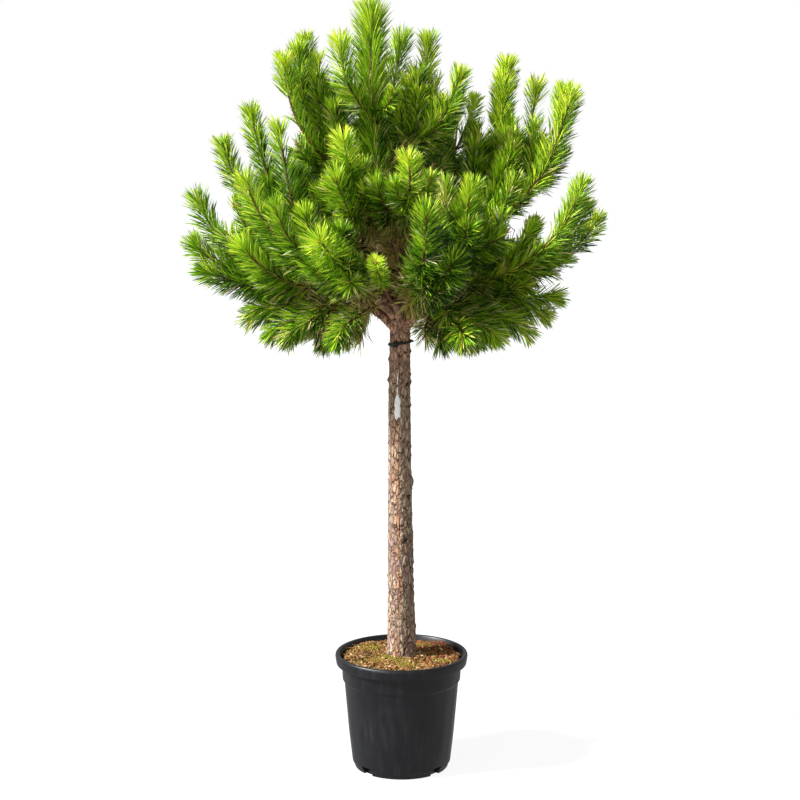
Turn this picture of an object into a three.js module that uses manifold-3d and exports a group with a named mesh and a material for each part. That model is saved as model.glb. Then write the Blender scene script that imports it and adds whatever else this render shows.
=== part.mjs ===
// A stone pine grown on a clear stem in a nursery pot: pot, soil, trunk, boughs and masses of needles.
// Millimetres, +Z up, origin at the middle of the pot's underside, the tree's front towards -Y.
// Bearings are degrees counter-clockwise from +X, seen from above.
import * as THREE from "three";
import { mergeVertices } from "three/addons/utils/BufferGeometryUtils.js";
import Module from "manifold-3d";

const wasm = await Module();
wasm.setup();

const GAP = 0.5; // left between a piece and whatever it is cut round

const TREE_TOP = 2300;
const LEADER_TOP = 2240; // the trunk's own tip, inside the needles of the topmost shoot
const SOIL_LEVEL = 348; // at the trunk, where it is heaped up
const SOIL_HEAP = { radius: 92, level: 341, edgeLevel: 338 };
const FORK_HEIGHT = 1340;
const TRUNK_RADIUS = 41; // a hand above the soil
const FORK_RADIUS = 30;
const FLARE = { swell: 4, height: 60 };
const LEADER = { footRadius: 18, tipRadius: 3, power: 1.4, foot: 1400 };
const TRUNK_SIDES = 12;
const TRUNK_RINGS = 15;

const POT = { height: 355, rimRadius: 202, lipHeight: 33, wall: 3, floor: 28 };
const SHOULDER = { radius: 182, bottomRadius: 179.5, height: 47.5 };
const BODY = { topRadius: 173.5, middleRadius: 160.5, middle: 106, footRadius: 150 };
const FOOT = { radius: 144, height: 12 };
const NOTCH = { count: 4, width: 36, height: 22, depth: 12 };
const POT_SEGMENTS = 24;

const TIE = { height: 1303, cord: 4.5, slope: -8, knotBearing: 243, knot: [11, 9, 9] };
const STREAK = { bottom: 1072, top: 1222, width: 18, tipWidth: 4, thickness: 1.6, bearing: 255 };

const BOUGH_SIDES = 5;
const BOUGH_RINGS = 2;
const PLUME_SIDES = 5;
const PLUME_RINGS = 4;
const PLUME_BLUNTNESS = 0.55; // below 1 the plume keeps its width nearer to its ends
const UNEVEN = 0.13;
const MASS_OVERLAP = 18; // how far a mass starts before the end of its bough

// The trunk's wander off the pot's axis, bottom to top: [x, y, height].
const TRUNK_WANDER = [
  [0, 0, SOIL_LEVEL],
  [-3, 2, 700],
  [-6, -2, 1150],
  [-4, 0, 1365],
  [-7, 4, 1560],
  [-40, 8, 1645],
  [-68, 12, 1730],
  [-80, 16, 1870],
  [-88, 20, 2020],
  [-90, 20, LEADER_TOP],
];

// Each bough: its name, the height where it leaves the trunk, its end as [bearing, reach, height], the
// radius of the needle plumes that it carries, and the tip of each plume as [bearing, reach, height].
const BOUGHS = [
  ["left_skirt", 1330, [198, 150, 1430], 56, [[186, 484, 1380], [202, 432, 1324], [214, 406, 1314]]],
  ["left_low", 1368, [184, 210, 1462], 45,
    [[174, 626, 1758], [185, 628, 1636], [203, 511, 1640], [189, 612, 1544]]],
  ["left_middle", 1392, [192, 190, 1500], 47, [[177, 440, 2020], [208, 398, 1975], [193, 526, 1930], [187, 502, 1756]]],
  ["left_front", 1420, [218, 190, 1510], 48, [[207, 504, 1831], [220, 466, 1756], [236, 481, 1738]]],
  ["left_high", 1640, [160, 170, 1800], 45,
    [[183, 353, 2166], [154, 327, 2230], [166, 255, 2172], [169, 320, 2200]]],
  ["front_left", 1398, [240, 190, 1455], 54, [[244, 534, 1668], [247, 433, 1594], [231, 430, 1580]]],
  ["front_skirt", 1350, [240, 150, 1435], 54, [[245, 440, 1321], [232, 330, 1320]]],
  ["centre_left", 1552, [230, 120, 1670], 48, [[238, 305, 1948], [240, 382, 1830], [214, 290, 1800]]],
  ["front_high", 1590, [272, 130, 1665], 46, [[274, 351, 1894], [256, 300, 1820]]],
  ["front_middle", 1384, [280, 180, 1465], 52, [[278, 525, 1745], [288, 480, 1610]]],
  ["front_small", 1368, [262, 190, 1440], 44, [[261, 480, 1606]]],
  ["right_crest", 1760, [30, 50, 1900], 42, [[38, 98, 2228], [0, 126, 2038], [60, 30, 2105], [342, 184, 2122]]],
  ["right_high", 1690, [20, 110, 1800], 38, [[43, 300, 2062], [62, 240, 2000]]],
  ["right_top", 1500, [12, 200, 1630], 46,
    [[21, 338, 2157], [22, 336, 2116], [24, 450, 2095], [357, 502, 2068], [2, 476, 2075]]],
  ["right_inner", 1470, [318, 140, 1560], 50, [[312, 308, 1810], [294, 459, 1701], [330, 370, 1690]]],
  ["right_middle", 1378, [354, 200, 1478], 45,
    [[350, 540, 1812], [2, 595, 1700], [17, 431, 1684], [355, 550, 1742]]],
  ["right_low", 1356, [3, 160, 1438], 52, [[353, 490, 1456], [18, 380, 1474], [358, 458, 1384]]],
  ["right_skirt", 1332, [318, 150, 1424], 54, [[337, 420, 1336], [313, 400, 1326], [294, 450, 1333]]],
  ["back_skirt", 1348, [105, 140, 1430], 56, [[126, 400, 1385], [101, 430, 1440], [76, 400, 1395]]],
  ["back_low_left", 1360, [138, 180, 1435], 50, [[155, 530, 1560], [135, 570, 1650], [145, 480, 1740]]],
  ["back_low", 1380, [92, 180, 1450], 50, [[103, 590, 1600], [86, 600, 1690], [94, 470, 1760]]],
  ["back_low_right", 1366, [48, 180, 1435], 50, [[58, 580, 1610], [38, 550, 1670], [48, 470, 1750]]],
  ["back_middle_left", 1455, [122, 180, 1590], 48, [[134, 460, 1900], [115, 510, 1880], [124, 360, 2000]]],
  ["back_middle_right", 1480, [60, 180, 1600], 48, [[70, 500, 1880], [48, 450, 1920], [60, 350, 2010]]],
  ["back_high", 1660, [94, 130, 1800], 46, [[104, 330, 2120], [77, 370, 2080], [91, 430, 2010]]],
];

// The mass round the leader: the foot of its plumes on the trunk, their radius, and their tips.
const CROWN_TOP = {
  foot: 1950,
  plumeRadius: 46,
  tips: [[167, 93, TREE_TOP], [206, 202, 2208], [88, 130, 2230], [264, 121, 2075]],
};

const FINISHES = {
  plastic: { color: 0x2b2c2f, roughness: 0.45, metalness: 0 },
  soil: { color: 0x8a6442, roughness: 0.95, metalness: 0 },
  bark: { color: 0x866858, roughness: 0.9, metalness: 0 },
  needles: { color: 0x55701a, roughness: 0.7, metalness: 0 },
  tie: { color: 0x1c2420, roughness: 0.6, metalness: 0 },
  resin: { color: 0xded9d2, roughness: 0.5, metalness: 0 },
};

const { lerp, smoothstep, degToRad } = THREE.MathUtils;

// ---------------------------------------------------------------- solids and meshes

function solid(geometry) {
  geometry.deleteAttribute("normal");
  geometry.deleteAttribute("uv");
  const merged = mergeVertices(geometry, 1e-4);
  const vertProperties = merged.attributes.position.array;
  const triVerts = new Uint32Array(merged.index.array);
  return new wasm.Manifold(new wasm.Mesh({ numProp: 3, vertProperties, triVerts }));
}

function largestBody(body) {
  const bodies = body.decompose();
  return bodies.reduce((best, other) => (other.volume() > best.volume() ? other : best));
}

function cutRound(body, obstacles) {
  return largestBody(obstacles.reduce((left, obstacle) => left.subtract(obstacle), body));
}

function meshOf(name, body, finish) {
  const { vertProperties, triVerts } = body.getMesh();
  const geometry = new THREE.BufferGeometry();
  geometry.setAttribute("position", new THREE.BufferAttribute(vertProperties, 3));
  geometry.setIndex(new THREE.BufferAttribute(triVerts, 1));
  geometry.computeVertexNormals();
  const mesh = new THREE.Mesh(geometry, new THREE.MeshStandardMaterial(FINISHES[finish]));
  mesh.name = name;
  return mesh;
}

function upright(geometry) {
  return geometry.rotateX(Math.PI / 2);
}

// ---------------------------------------------------------------- curves

function polar([bearing, reach, height]) {
  const angle = degToRad(bearing);
  return new THREE.Vector3(reach * Math.cos(angle), reach * Math.sin(angle), height);
}

// A curve in one upright plane, whose bend lies at the given shares of its run and of its rise.
function arch(from, to, runShare, riseShare) {
  const bend = from.clone().lerp(to, runShare);
  bend.z = lerp(from.z, to.z, riseShare);
  return new THREE.QuadraticBezierCurve3(from, bend, to);
}

const trunkCurve = new THREE.CatmullRomCurve3(TRUNK_WANDER.map((at) => new THREE.Vector3(...at)));

// The trunk's middle at a height, found by halving along its curve.
function trunkMiddle(height) {
  let [low, high] = [0, 1];
  for (let step = 0; step < 24; step += 1) {
    const middle = (low + high) / 2;
    if (trunkCurve.getPoint(middle).z < height) low = middle;
    else high = middle;
  }
  return trunkCurve.getPoint(low).setZ(height);
}

function trunkRadius(height) {
  const taper = (height - SOIL_LEVEL) / (FORK_HEIGHT - SOIL_LEVEL);
  const flare = FLARE.swell * Math.exp((SOIL_LEVEL - height) / FLARE.height);
  const stem = lerp(TRUNK_RADIUS, FORK_RADIUS, taper) + flare;
  const left = Math.max(0, (LEADER_TOP - height) / (LEADER_TOP - LEADER.foot));
  const leader = LEADER.tipRadius + (LEADER.footRadius - LEADER.tipRadius) * left ** LEADER.power;
  return lerp(stem, leader, smoothstep(height, FORK_HEIGHT, LEADER.foot + 20));
}

// ---------------------------------------------------------------- shapes that follow a curve

// Moves each vertex of a shape that stands on the Y axis to its place along a curve in an upright plane.
function follow(geometry, curve, place) {
  const run = curve.v2.clone().sub(curve.v0).setZ(0).normalize();
  const side = new THREE.Vector3(-run.y, run.x, 0);
  const vertices = geometry.attributes.position;
  const vertex = new THREE.Vector3();
  for (let i = 0; i < vertices.count; i += 1) {
    vertex.fromBufferAttribute(vertices, i);
    const { share, width, ahead } = place(vertex);
    const along = curve.getTangent(share);
    const across = side.clone().cross(along);
    const at = curve.getPoint(share).addScaledVector(along, ahead);
    at.addScaledVector(side, vertex.x * width).addScaledVector(across, vertex.z * width);
    vertices.setXYZ(i, at.x, at.y, at.z);
  }
  return geometry;
}

function trunkSolid(grow) {
  const geometry = new THREE.CylinderGeometry(1, 1, 1, TRUNK_SIDES, TRUNK_RINGS);
  const vertices = geometry.attributes.position;
  for (let i = 0; i < vertices.count; i += 1) {
    const share = vertices.getY(i) + 0.5;
    const height = lerp(SOIL_LEVEL + GAP, LEADER_TOP, share);
    const middle = trunkMiddle(height);
    const radius = trunkRadius(height) + grow;
    const x = middle.x + vertices.getX(i) * radius;
    const y = middle.y - vertices.getZ(i) * radius;
    vertices.setXYZ(i, x, y, height + (share === 1 ? grow : 0));
  }
  return solid(geometry);
}

function boughSolid(bough, grow) {
  const geometry = new THREE.CylinderGeometry(1, 1, 1, BOUGH_SIDES, BOUGH_RINGS);
  return solid(
    follow(geometry, bough.curve, (vertex) => {
      const share = vertex.y + 0.5;
      const width = lerp(bough.rootRadius, bough.endRadius, share) + grow;
      return { share, width, ahead: share === 1 ? grow : 0 };
    }),
  );
}

// One plume of needles: a long egg round its shoot, swollen and pinched a little all over.
function plumeSolid(curve, radius, seed, grow) {
  const geometry = new THREE.SphereGeometry(1, PLUME_SIDES, PLUME_RINGS);
  return solid(
    follow(geometry, curve, (vertex) => {
      const ring = Math.max(Math.hypot(vertex.x, vertex.z), 1e-9);
      const turn = Math.atan2(vertex.z, vertex.x);
      const bulge = Math.sin(2 * turn + seed) + Math.sin(3 * turn + 5 * vertex.y + 2 * seed);
      const width = (radius * ring ** PLUME_BLUNTNESS * (1 + UNEVEN * bulge)) / ring + grow;
      return { share: (vertex.y + 1) / 2, width, ahead: vertex.y * grow };
    }),
  );
}

function massSolid(plumes, radius, seed, grow) {
  const bodies = plumes.map((curve, i) => plumeSolid(curve, radius, seed + 1.7 * i, grow));
  return bodies.reduce((joined, body) => joined.add(body));
}

// ---------------------------------------------------------------- pot and soil

function potInnerRadius(height) {
  const foot = BODY.footRadius - POT.wall;
  const middle = BODY.middleRadius - POT.wall;
  const top = BODY.topRadius - POT.wall;
  const shoulder = POT.height - POT.lipHeight - SHOULDER.height;
  if (height < BODY.middle) return lerp(foot, middle, height / BODY.middle);
  return lerp(middle, top, (height - BODY.middle) / (shoulder - BODY.middle));
}

function potSolid() {
  const { height, rimRadius, lipHeight, wall, floor } = POT;
  const lipFoot = height - lipHeight;
  const shoulderFoot = lipFoot - SHOULDER.height;
  const outside = [
    [0, 0],
    [FOOT.radius - 2, 0],
    [FOOT.radius, FOOT.height],
    [BODY.footRadius, FOOT.height + 4],
    [BODY.middleRadius, BODY.middle],
    [BODY.topRadius, shoulderFoot - 6],
    [SHOULDER.bottomRadius, shoulderFoot],
    [SHOULDER.radius, lipFoot],
    [rimRadius - 1, lipFoot],
    [rimRadius, height - 5],
    [rimRadius - 4, height],
  ];
  const inside = [
    [rimRadius - 11, height],
    [rimRadius - 15, height - 5],
    [SHOULDER.radius - wall, lipFoot + 2],
    [SHOULDER.bottomRadius - wall, shoulderFoot],
    [potInnerRadius(shoulderFoot - 6), shoulderFoot - 6],
    [potInnerRadius(BODY.middle), BODY.middle],
    [potInnerRadius(floor + 6), floor + 6],
    [potInnerRadius(floor) - 6, floor],
    [0, floor],
  ];
  const profile = [...outside, ...inside].map(([radius, z]) => new THREE.Vector2(radius, z));
  const shell = solid(upright(new THREE.LatheGeometry(profile, POT_SEGMENTS)));
  const notches = Array.from({ length: NOTCH.count }, (_, i) => {
    const notch = new THREE.BoxGeometry(2 * NOTCH.depth, NOTCH.width, 2 * NOTCH.height);
    notch.translate(FOOT.radius, 0, 0).rotateZ(((i + 0.5) / NOTCH.count) * 2 * Math.PI);
    return solid(notch);
  });
  return cutRound(shell, notches);
}

function soilSolid() {
  const bottom = POT.floor + GAP;
  const lipFoot = POT.height - POT.lipHeight;
  const shoulderFoot = lipFoot - SHOULDER.height;
  const profile = [
    [0, bottom],
    [potInnerRadius(bottom) - 8, bottom],
    [potInnerRadius(BODY.middle) - GAP, BODY.middle],
    [potInnerRadius(shoulderFoot - 6) - GAP, shoulderFoot - 6],
    [SHOULDER.bottomRadius - POT.wall - GAP, shoulderFoot + 2],
    [SHOULDER.radius - POT.wall - GAP, lipFoot],
    [SHOULDER.radius, SOIL_HEAP.edgeLevel],
    [SOIL_HEAP.radius, SOIL_HEAP.level],
    [TRUNK_RADIUS + FLARE.swell + 8, SOIL_LEVEL],
    [0, SOIL_LEVEL],
  ].map(([radius, z]) => new THREE.Vector2(radius, z));
  return solid(upright(new THREE.LatheGeometry(profile, POT_SEGMENTS)));
}

// ---------------------------------------------------------------- trim on the trunk

function tieSolid() {
  const ringRadius = trunkRadius(TIE.height) + GAP + TIE.cord;
  const ring = new THREE.TorusGeometry(ringRadius, TIE.cord, 5, 12);
  const knot = new THREE.SphereGeometry(1, 5, 3).scale(...TIE.knot);
  const knotPlace = polar([TIE.knotBearing, ringRadius + TIE.cord, 0]);
  knot.translate(knotPlace.x, knotPlace.y, 0);
  const middle = trunkMiddle(TIE.height);
  const seat = (geometry) => geometry.rotateY(degToRad(TIE.slope)).translate(middle.x, middle.y, middle.z);
  return solid(seat(ring)).add(solid(seat(knot)));
}

function streakSolid() {
  const length = STREAK.top - STREAK.bottom;
  const half = STREAK.width / 2;
  const outline = new THREE.Shape();
  outline.moveTo(-half, 0);
  outline.lineTo(0, 0.06 * length);
  outline.lineTo(half, 0);
  outline.lineTo(half, 0.4 * length);
  outline.lineTo(STREAK.tipWidth / 2, 0.6 * length);
  outline.lineTo(STREAK.tipWidth / 2, length);
  outline.lineTo(-STREAK.tipWidth / 2, length);
  outline.lineTo(-STREAK.tipWidth / 2, 0.6 * length);
  outline.lineTo(-half, 0.4 * length);
  const middleHeight = (STREAK.top + STREAK.bottom) / 2;
  const facet = trunkRadius(middleHeight) * Math.cos(Math.PI / TRUNK_SIDES);
  const depth = 3 + STREAK.thickness;
  const plate = new THREE.ExtrudeGeometry(outline, { depth, steps: 1, bevelEnabled: false });
  const lean = Math.atan((trunkRadius(STREAK.bottom) - trunkRadius(STREAK.top)) / length);
  const middle = trunkMiddle(middleHeight);
  plate.translate(0, -length / 2, facet - 3).rotateX(Math.PI / 2 - lean);
  plate.rotateZ(degToRad(STREAK.bearing + 90)).translate(middle.x, middle.y, middleHeight);
  return solid(plate);
}

// ---------------------------------------------------------------- the tree

function buildBoughs() {
  return BOUGHS.map(([name, start, end, plumeRadius, tips], index) => {
    const furthest = Math.max(...tips.map(([, reach]) => reach));
    const rootRadius = 5 + 1.7 * tips.length + 0.009 * furthest;
    const curve = arch(trunkMiddle(start), polar(end), 0.45, 0.8);
    const massStart = polar(end).addScaledVector(curve.getTangent(1), -MASS_OVERLAP);
    const plumes = tips.map((tip) => arch(massStart, polar(tip), 0.82, 0.17));
    return { name, curve, rootRadius, endRadius: 0.6 * rootRadius, plumes, plumeRadius, seed: index };
  });
}

const tree = new THREE.Group();
tree.name = "stone_pine";
tree.add(meshOf("pot", potSolid(), "plastic"));
tree.add(meshOf("soil", soilSolid(), "soil"));
tree.add(meshOf("trunk", trunkSolid(0), "bark"));

const obstacles = [trunkSolid(GAP)];
tree.add(meshOf("trunk_tie", cutRound(tieSolid(), obstacles), "tie"));
tree.add(meshOf("resin_streak", cutRound(streakSolid(), obstacles), "resin"));

const boughs = buildBoughs();
for (const bough of boughs) {
  tree.add(meshOf(`bough_${bough.name}`, cutRound(boughSolid(bough, 0), obstacles), "bark"));
  obstacles.push(boughSolid(bough, GAP));
}

const topFoot = trunkMiddle(CROWN_TOP.foot);
const topPlumes = CROWN_TOP.tips.map((tip) => arch(topFoot, polar(tip), 0.75, 0.2));
const top = { name: "top", plumes: topPlumes, plumeRadius: CROWN_TOP.plumeRadius, seed: boughs.length };
for (const { name, plumes, plumeRadius, seed } of [top, ...boughs]) {
  const mass = massSolid(plumes, plumeRadius, seed, 0);
  tree.add(meshOf(`foliage_${name}`, cutRound(mass, obstacles), "needles"));
  obstacles.push(massSolid(plumes, plumeRadius, seed, GAP));
}

export default tree;
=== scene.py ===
"""A young stone pine grown on a clear stem, in a round nursery pot.

Metres, +Z up, origin at the middle of the pot's underside, the front of the tree towards -Y. Sizes in the
dataclasses are millimetres, turned into metres by MM where points are made. Bearings are degrees
counter-clockwise from +X, seen from above. The scale of a pattern is how many of its cells or clouds fit in
a metre.
"""
import logging
import math
from collections.abc import Mapping, Sequence
from dataclasses import dataclass, field, fields
from enum import Enum

import bpy
import numpy as np
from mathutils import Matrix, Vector


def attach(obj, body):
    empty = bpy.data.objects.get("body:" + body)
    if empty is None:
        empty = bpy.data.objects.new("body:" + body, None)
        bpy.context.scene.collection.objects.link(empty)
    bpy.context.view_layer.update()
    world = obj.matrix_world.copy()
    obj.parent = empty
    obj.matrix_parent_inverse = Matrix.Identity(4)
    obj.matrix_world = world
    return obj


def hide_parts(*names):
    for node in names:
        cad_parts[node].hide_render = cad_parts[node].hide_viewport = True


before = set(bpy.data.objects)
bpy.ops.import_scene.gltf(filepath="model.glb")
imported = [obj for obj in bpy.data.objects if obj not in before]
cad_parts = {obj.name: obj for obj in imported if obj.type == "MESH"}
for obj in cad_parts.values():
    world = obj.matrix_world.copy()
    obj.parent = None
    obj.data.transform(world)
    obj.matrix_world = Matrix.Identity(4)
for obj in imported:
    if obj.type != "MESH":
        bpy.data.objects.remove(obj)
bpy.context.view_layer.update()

log = logging.getLogger("stone_pine")

MM = 0.001
BODY = "root"
UP = np.array([0.0, 0.0, 1.0])
GOLDEN_ANGLE = math.radians(137.508)

Points = np.ndarray
Face = tuple[int, ...]
Chance = np.random.Generator
Colour = tuple[float, float, float, float]
Sockets = Mapping[str, bpy.types.NodeSocket]


def paint(red: int, green: int, blue: int) -> Colour:
    """Turns a display colour, 0 to 255 a channel, into the linear colour that a shader takes.

    Args:
        red: the red channel.
        green: the green channel.
        blue: the blue channel.

    Returns:
        The linear colour with a full alpha.
    """
    def linear(channel: int) -> float:
        """Undoes the display's gamma for one channel."""
        share = channel / 255
        return share / 12.92 if share <= 0.04045 else ((share + 0.055) / 1.055) ** 2.4

    return linear(red), linear(green), linear(blue), 1.0


# ---- nodes


class Wire:
    """An output of a node, with which maths can be written as Python expressions."""

    def __init__(self, graph: "Graph", socket: bpy.types.NodeSocket) -> None:
        """Keeps the socket and the graph that it belongs to."""
        self.graph = graph
        self.socket = socket

    def __add__(self, other: "Wire | float") -> "Wire":
        """Adds."""
        return self.graph.maths("ADD", self, other)

    def __radd__(self, other: float) -> "Wire":
        """Adds to a number."""
        return self.graph.maths("ADD", other, self)

    def __sub__(self, other: "Wire | float") -> "Wire":
        """Subtracts."""
        return self.graph.maths("SUBTRACT", self, other)

    def __rsub__(self, other: float) -> "Wire":
        """Subtracts from a number."""
        return self.graph.maths("SUBTRACT", other, self)

    def __mul__(self, other: "Wire | float") -> "Wire":
        """Multiplies."""
        return self.graph.maths("MULTIPLY", self, other)

    def __rmul__(self, other: float) -> "Wire":
        """Multiplies a number."""
        return self.graph.maths("MULTIPLY", other, self)


class Graph:
    """A node tree that is being written: one method adds every kind of node."""

    def __init__(self, tree: bpy.types.NodeTree) -> None:
        """Keeps the tree."""
        self.tree = tree

    def add(
        self, kind: str, settings: dict | None = None, values: dict | None = None, out: int | str = 0
    ) -> Wire:
        """Adds a node.

        Args:
            kind: the node's type.
            settings: what is set on the node first, such as its operation; "stops" are a ramp's stops.
            values: numbers, colours or wires for its input sockets, by name or number.
            out: the output socket that is wanted.

        Returns:
            The wanted output.
        """
        node = self.tree.nodes.new(kind)
        for name, setting in (settings or {}).items():
            if name == "stops":
                self.set_stops(node.color_ramp, setting)
            else:
                setattr(node, name, setting)
        for key, value in (values or {}).items():
            self.feed(node.inputs[key], value)
        return Wire(self, node.outputs[out] if node.outputs else None)

    def feed(self, socket: bpy.types.NodeSocket, value: object) -> None:
        """Links a wire to an input socket, or sets the socket's own value.

        Args:
            socket: the input.
            value: a wire, or what the socket holds.
        """
        if isinstance(value, Wire):
            self.tree.links.new(value.socket, socket)
        else:
            socket.default_value = value

    @staticmethod
    def set_stops(ramp: bpy.types.ColorRamp, stops: Sequence[tuple[float, Colour]]) -> None:
        """Gives a ramp its stops.

        Args:
            ramp: the ramp, with the two stops that it starts with.
            stops: place and colour of each stop, in rising order.
        """
        while len(ramp.elements) < len(stops):
            ramp.elements.new(1.0)
        for element, (place, colour) in zip(ramp.elements, stops):
            element.position = place
            element.color = colour

    def maths(self, operation: str, first: Wire | float, second: Wire | float) -> Wire:
        """Adds a Math node with two inputs."""
        return self.add("ShaderNodeMath", {"operation": operation}, {0: first, 1: second})

    def mix(self, first: Wire | Colour, second: Wire | Colour, share: Wire | float) -> Wire:
        """Mixes two colours by the share of the second."""
        settings = {"data_type": "RGBA", "clamp_factor": True}
        return self.add("ShaderNodeMix", settings, {0: share, 6: first, 7: second}, out=2)

    def step(self, value: Wire, low: float, high: float) -> Wire:
        """Eases from 0 to 1 while a value goes from low to high."""
        values = {"Value": value, "From Min": low, "From Max": high}
        return self.add("ShaderNodeMapRange", {"interpolation_type": "SMOOTHSTEP"}, values)

    def noise(self, place: Wire, scale: float, detail: float = 3.0, roughness: float = 0.55) -> Wire:
        """Gives cloudy noise, about 0 to 1; scale is clouds in a metre."""
        values = {"Vector": place, "Scale": scale, "Detail": detail, "Roughness": roughness}
        return self.add("ShaderNodeTexNoise", None, values)

    def warped(self, place: Wire, scale: float, reach: float) -> Wire:
        """Moves coordinates about by noise.

        Args:
            place: the coordinates.
            scale: clouds in a metre.
            reach: how far they're moved at the most, in metres.

        Returns:
            The moved coordinates.
        """
        values = {"Vector": place, "Scale": scale, "Detail": 2.0}
        cloud = self.add("ShaderNodeTexNoise", None, values, out="Color")
        shift = self.add("ShaderNodeVectorMath", {"operation": "SCALE"}, {0: cloud, "Scale": reach})
        return self.add("ShaderNodeVectorMath", {"operation": "ADD"}, {0: place, 1: shift})

    def cells(self, place: Wire, scale: float) -> tuple[Wire, Wire, Wire]:
        """Splits space into irregular cells.

        Args:
            place: the coordinates.
            scale: cells in a metre.

        Returns:
            How far each place is from the next cell, a number for its cell from 0 to 1, and how far up in its
            cell it lies, about -0.6 to 0.6.
        """
        values = {"Vector": place, "Scale": scale}
        seam = self.add("ShaderNodeTexVoronoi", {"feature": "DISTANCE_TO_EDGE"}, values, out="Distance")
        colour = self.add("ShaderNodeTexVoronoi", None, values, out="Color")
        number = self.add("ShaderNodeSeparateColor", None, {"Color": colour}, out="Red")
        middle = self.add("ShaderNodeTexVoronoi", None, values, out="Position")
        height = self.add("ShaderNodeSeparateXYZ", None, {"Vector": place}, out="Z")
        level = self.add("ShaderNodeSeparateXYZ", None, {"Vector": middle}, out="Z")
        return seam, number, (height - level) * scale

    def stretched(self, across: float, along: float) -> Wire:
        """Object coordinates, scaled across (X and Y) and along (Z)."""
        place = self.add("ShaderNodeTexCoord", out="Object")
        return self.add("ShaderNodeMapping", None, {"Vector": place, "Scale": (across, across, along)})

    def bump(self, height: Wire, distance: float, strength: float = 1.0) -> Wire:
        """Turns a height from 0 to 1 into a bumped normal, as deep as distance, in metres."""
        values = {"Height": height, "Distance": distance, "Strength": strength}
        return self.add("ShaderNodeBump", None, values, out="Normal")

    def mark(self, label: str) -> Wire:
        """A number that a mesh holds at its points, by its name."""
        return self.add("ShaderNodeAttribute", {"attribute_name": label}, out="Fac")


class Recipe(Graph):
    """A Geometry Nodes tree with named inputs, made into a plain mesh as soon as it is used."""

    def __init__(self, name: str, inputs: dict[str, float | int]) -> None:
        """Starts the tree with a geometry input and numbers of their own.

        Args:
            name: the tree's name.
            inputs: each number's name and usual value.
        """
        super().__init__(bpy.data.node_groups.new(name, "GeometryNodeTree"))
        sockets = self.tree.interface
        sockets.new_socket("Geometry", in_out="INPUT", socket_type="NodeSocketGeometry")
        sockets.new_socket("Geometry", in_out="OUTPUT", socket_type="NodeSocketGeometry")
        for label, usual in inputs.items():
            kind = "NodeSocketInt" if isinstance(usual, int) else "NodeSocketFloat"
            sockets.new_socket(label, in_out="INPUT", socket_type=kind).default_value = usual
        self.source = self.tree.nodes.new("NodeGroupInput")

    def given(self, label: str) -> Wire:
        """One of the tree's own inputs."""
        return Wire(self, self.source.outputs[label])

    def attribute(self, label: str, data_type: str) -> Wire:
        """An attribute of the geometry, by its name."""
        return self.add("GeometryNodeInputNamedAttribute", {"data_type": data_type}, {"Name": label})

    def pick(self, templates: Sequence[bpy.types.Object]) -> Wire:
        """Joins templates as instances to pick from.

        Args:
            templates: the objects, numbered in their order.

        Returns:
            The instances.
        """
        joined = self.tree.nodes.new("GeometryNodeJoinGeometry")
        for template in reversed(templates):
            values = {"Object": template, "As Instance": True}
            shape = self.add("GeometryNodeObjectInfo", None, values, out="Geometry")
            self.tree.links.new(shape.socket, joined.inputs[0])
        return Wire(self, joined.outputs[0])

    def paint_by(self, geometry: Wire, label: str, materials: Sequence[bpy.types.Material]) -> Wire:
        """Gives each face the material that a whole-number attribute names.

        Args:
            geometry: what is painted.
            label: the attribute.
            materials: the materials, by number.

        Returns:
            The painted geometry.
        """
        number = self.attribute(label, "INT")
        equal = {"data_type": "INT", "operation": "EQUAL"}
        for index, material in enumerate(materials):
            same = self.add("FunctionNodeCompare", equal, {2: number, 3: index})
            values = {"Geometry": geometry, "Selection": same, "Material": material}
            geometry = self.add("GeometryNodeSetMaterial", None, values)
        return geometry

    def close(self, geometry: Wire) -> None:
        """Links the finished geometry to the tree's output."""
        output = self.tree.nodes.new("NodeGroupOutput")
        self.feed(output.inputs["Geometry"], geometry)

    def use(self, name: str, source: bpy.types.Mesh, inputs: dict[str, float | int]) -> bpy.types.Object:
        """Runs the tree on a mesh and keeps the result as a plain mesh.

        Args:
            name: the new piece's name.
            source: the mesh that the tree starts from.
            inputs: values of the tree's inputs.

        Returns:
            The piece, with no modifier left.
        """
        piece = bpy.data.objects.new(name, source)
        bpy.context.scene.collection.objects.link(piece)
        modifier = piece.modifiers.new("recipe", "NODES")
        modifier.node_group = self.tree
        for item in self.tree.interface.items_tree:
            if item.in_out == "INPUT" and item.name in inputs:
                modifier[item.identifier] = inputs[item.name]
        bpy.context.view_layer.update()
        evaluated = piece.evaluated_get(bpy.context.evaluated_depsgraph_get())
        mesh = bpy.data.meshes.new_from_object(evaluated)
        piece.modifiers.remove(modifier)
        piece.data = mesh
        mesh.name = name
        for label in [item.name for item in fields(Sown) if item.name in mesh.attributes]:
            mesh.attributes.remove(mesh.attributes[label])
        return piece


# ---- meshes


def put(name: str, data: bpy.types.ID) -> bpy.types.Object:
    """Puts a mesh, a light or a camera in the scene.

    Args:
        name: the object's name.
        data: what it shows.

    Returns:
        The object.
    """
    thing = bpy.data.objects.new(name, data)
    bpy.context.scene.collection.objects.link(thing)
    return thing


def make_mesh(name: str, points: Points, faces: list[Face], smooth: bool = True) -> bpy.types.Mesh:
    """Makes a mesh from points and faces.

    Args:
        name: the mesh's name.
        points: its points in metres.
        faces: the point numbers of each face, counter-clockwise seen from outside.
        smooth: whether its shading runs over the edges.

    Returns:
        The mesh.
    """
    mesh = bpy.data.meshes.new(name)
    mesh.from_pydata(np.asarray(points).tolist(), [], faces, False)
    if not smooth:
        mesh.shade_flat()
    return mesh


def make_piece(mesh: bpy.types.Mesh, finish: "Finish") -> bpy.types.Object:
    """Puts a mesh in the scene under its own name and dresses it."""
    mesh.materials.append(finish.make())
    return put(mesh.name, mesh)


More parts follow.
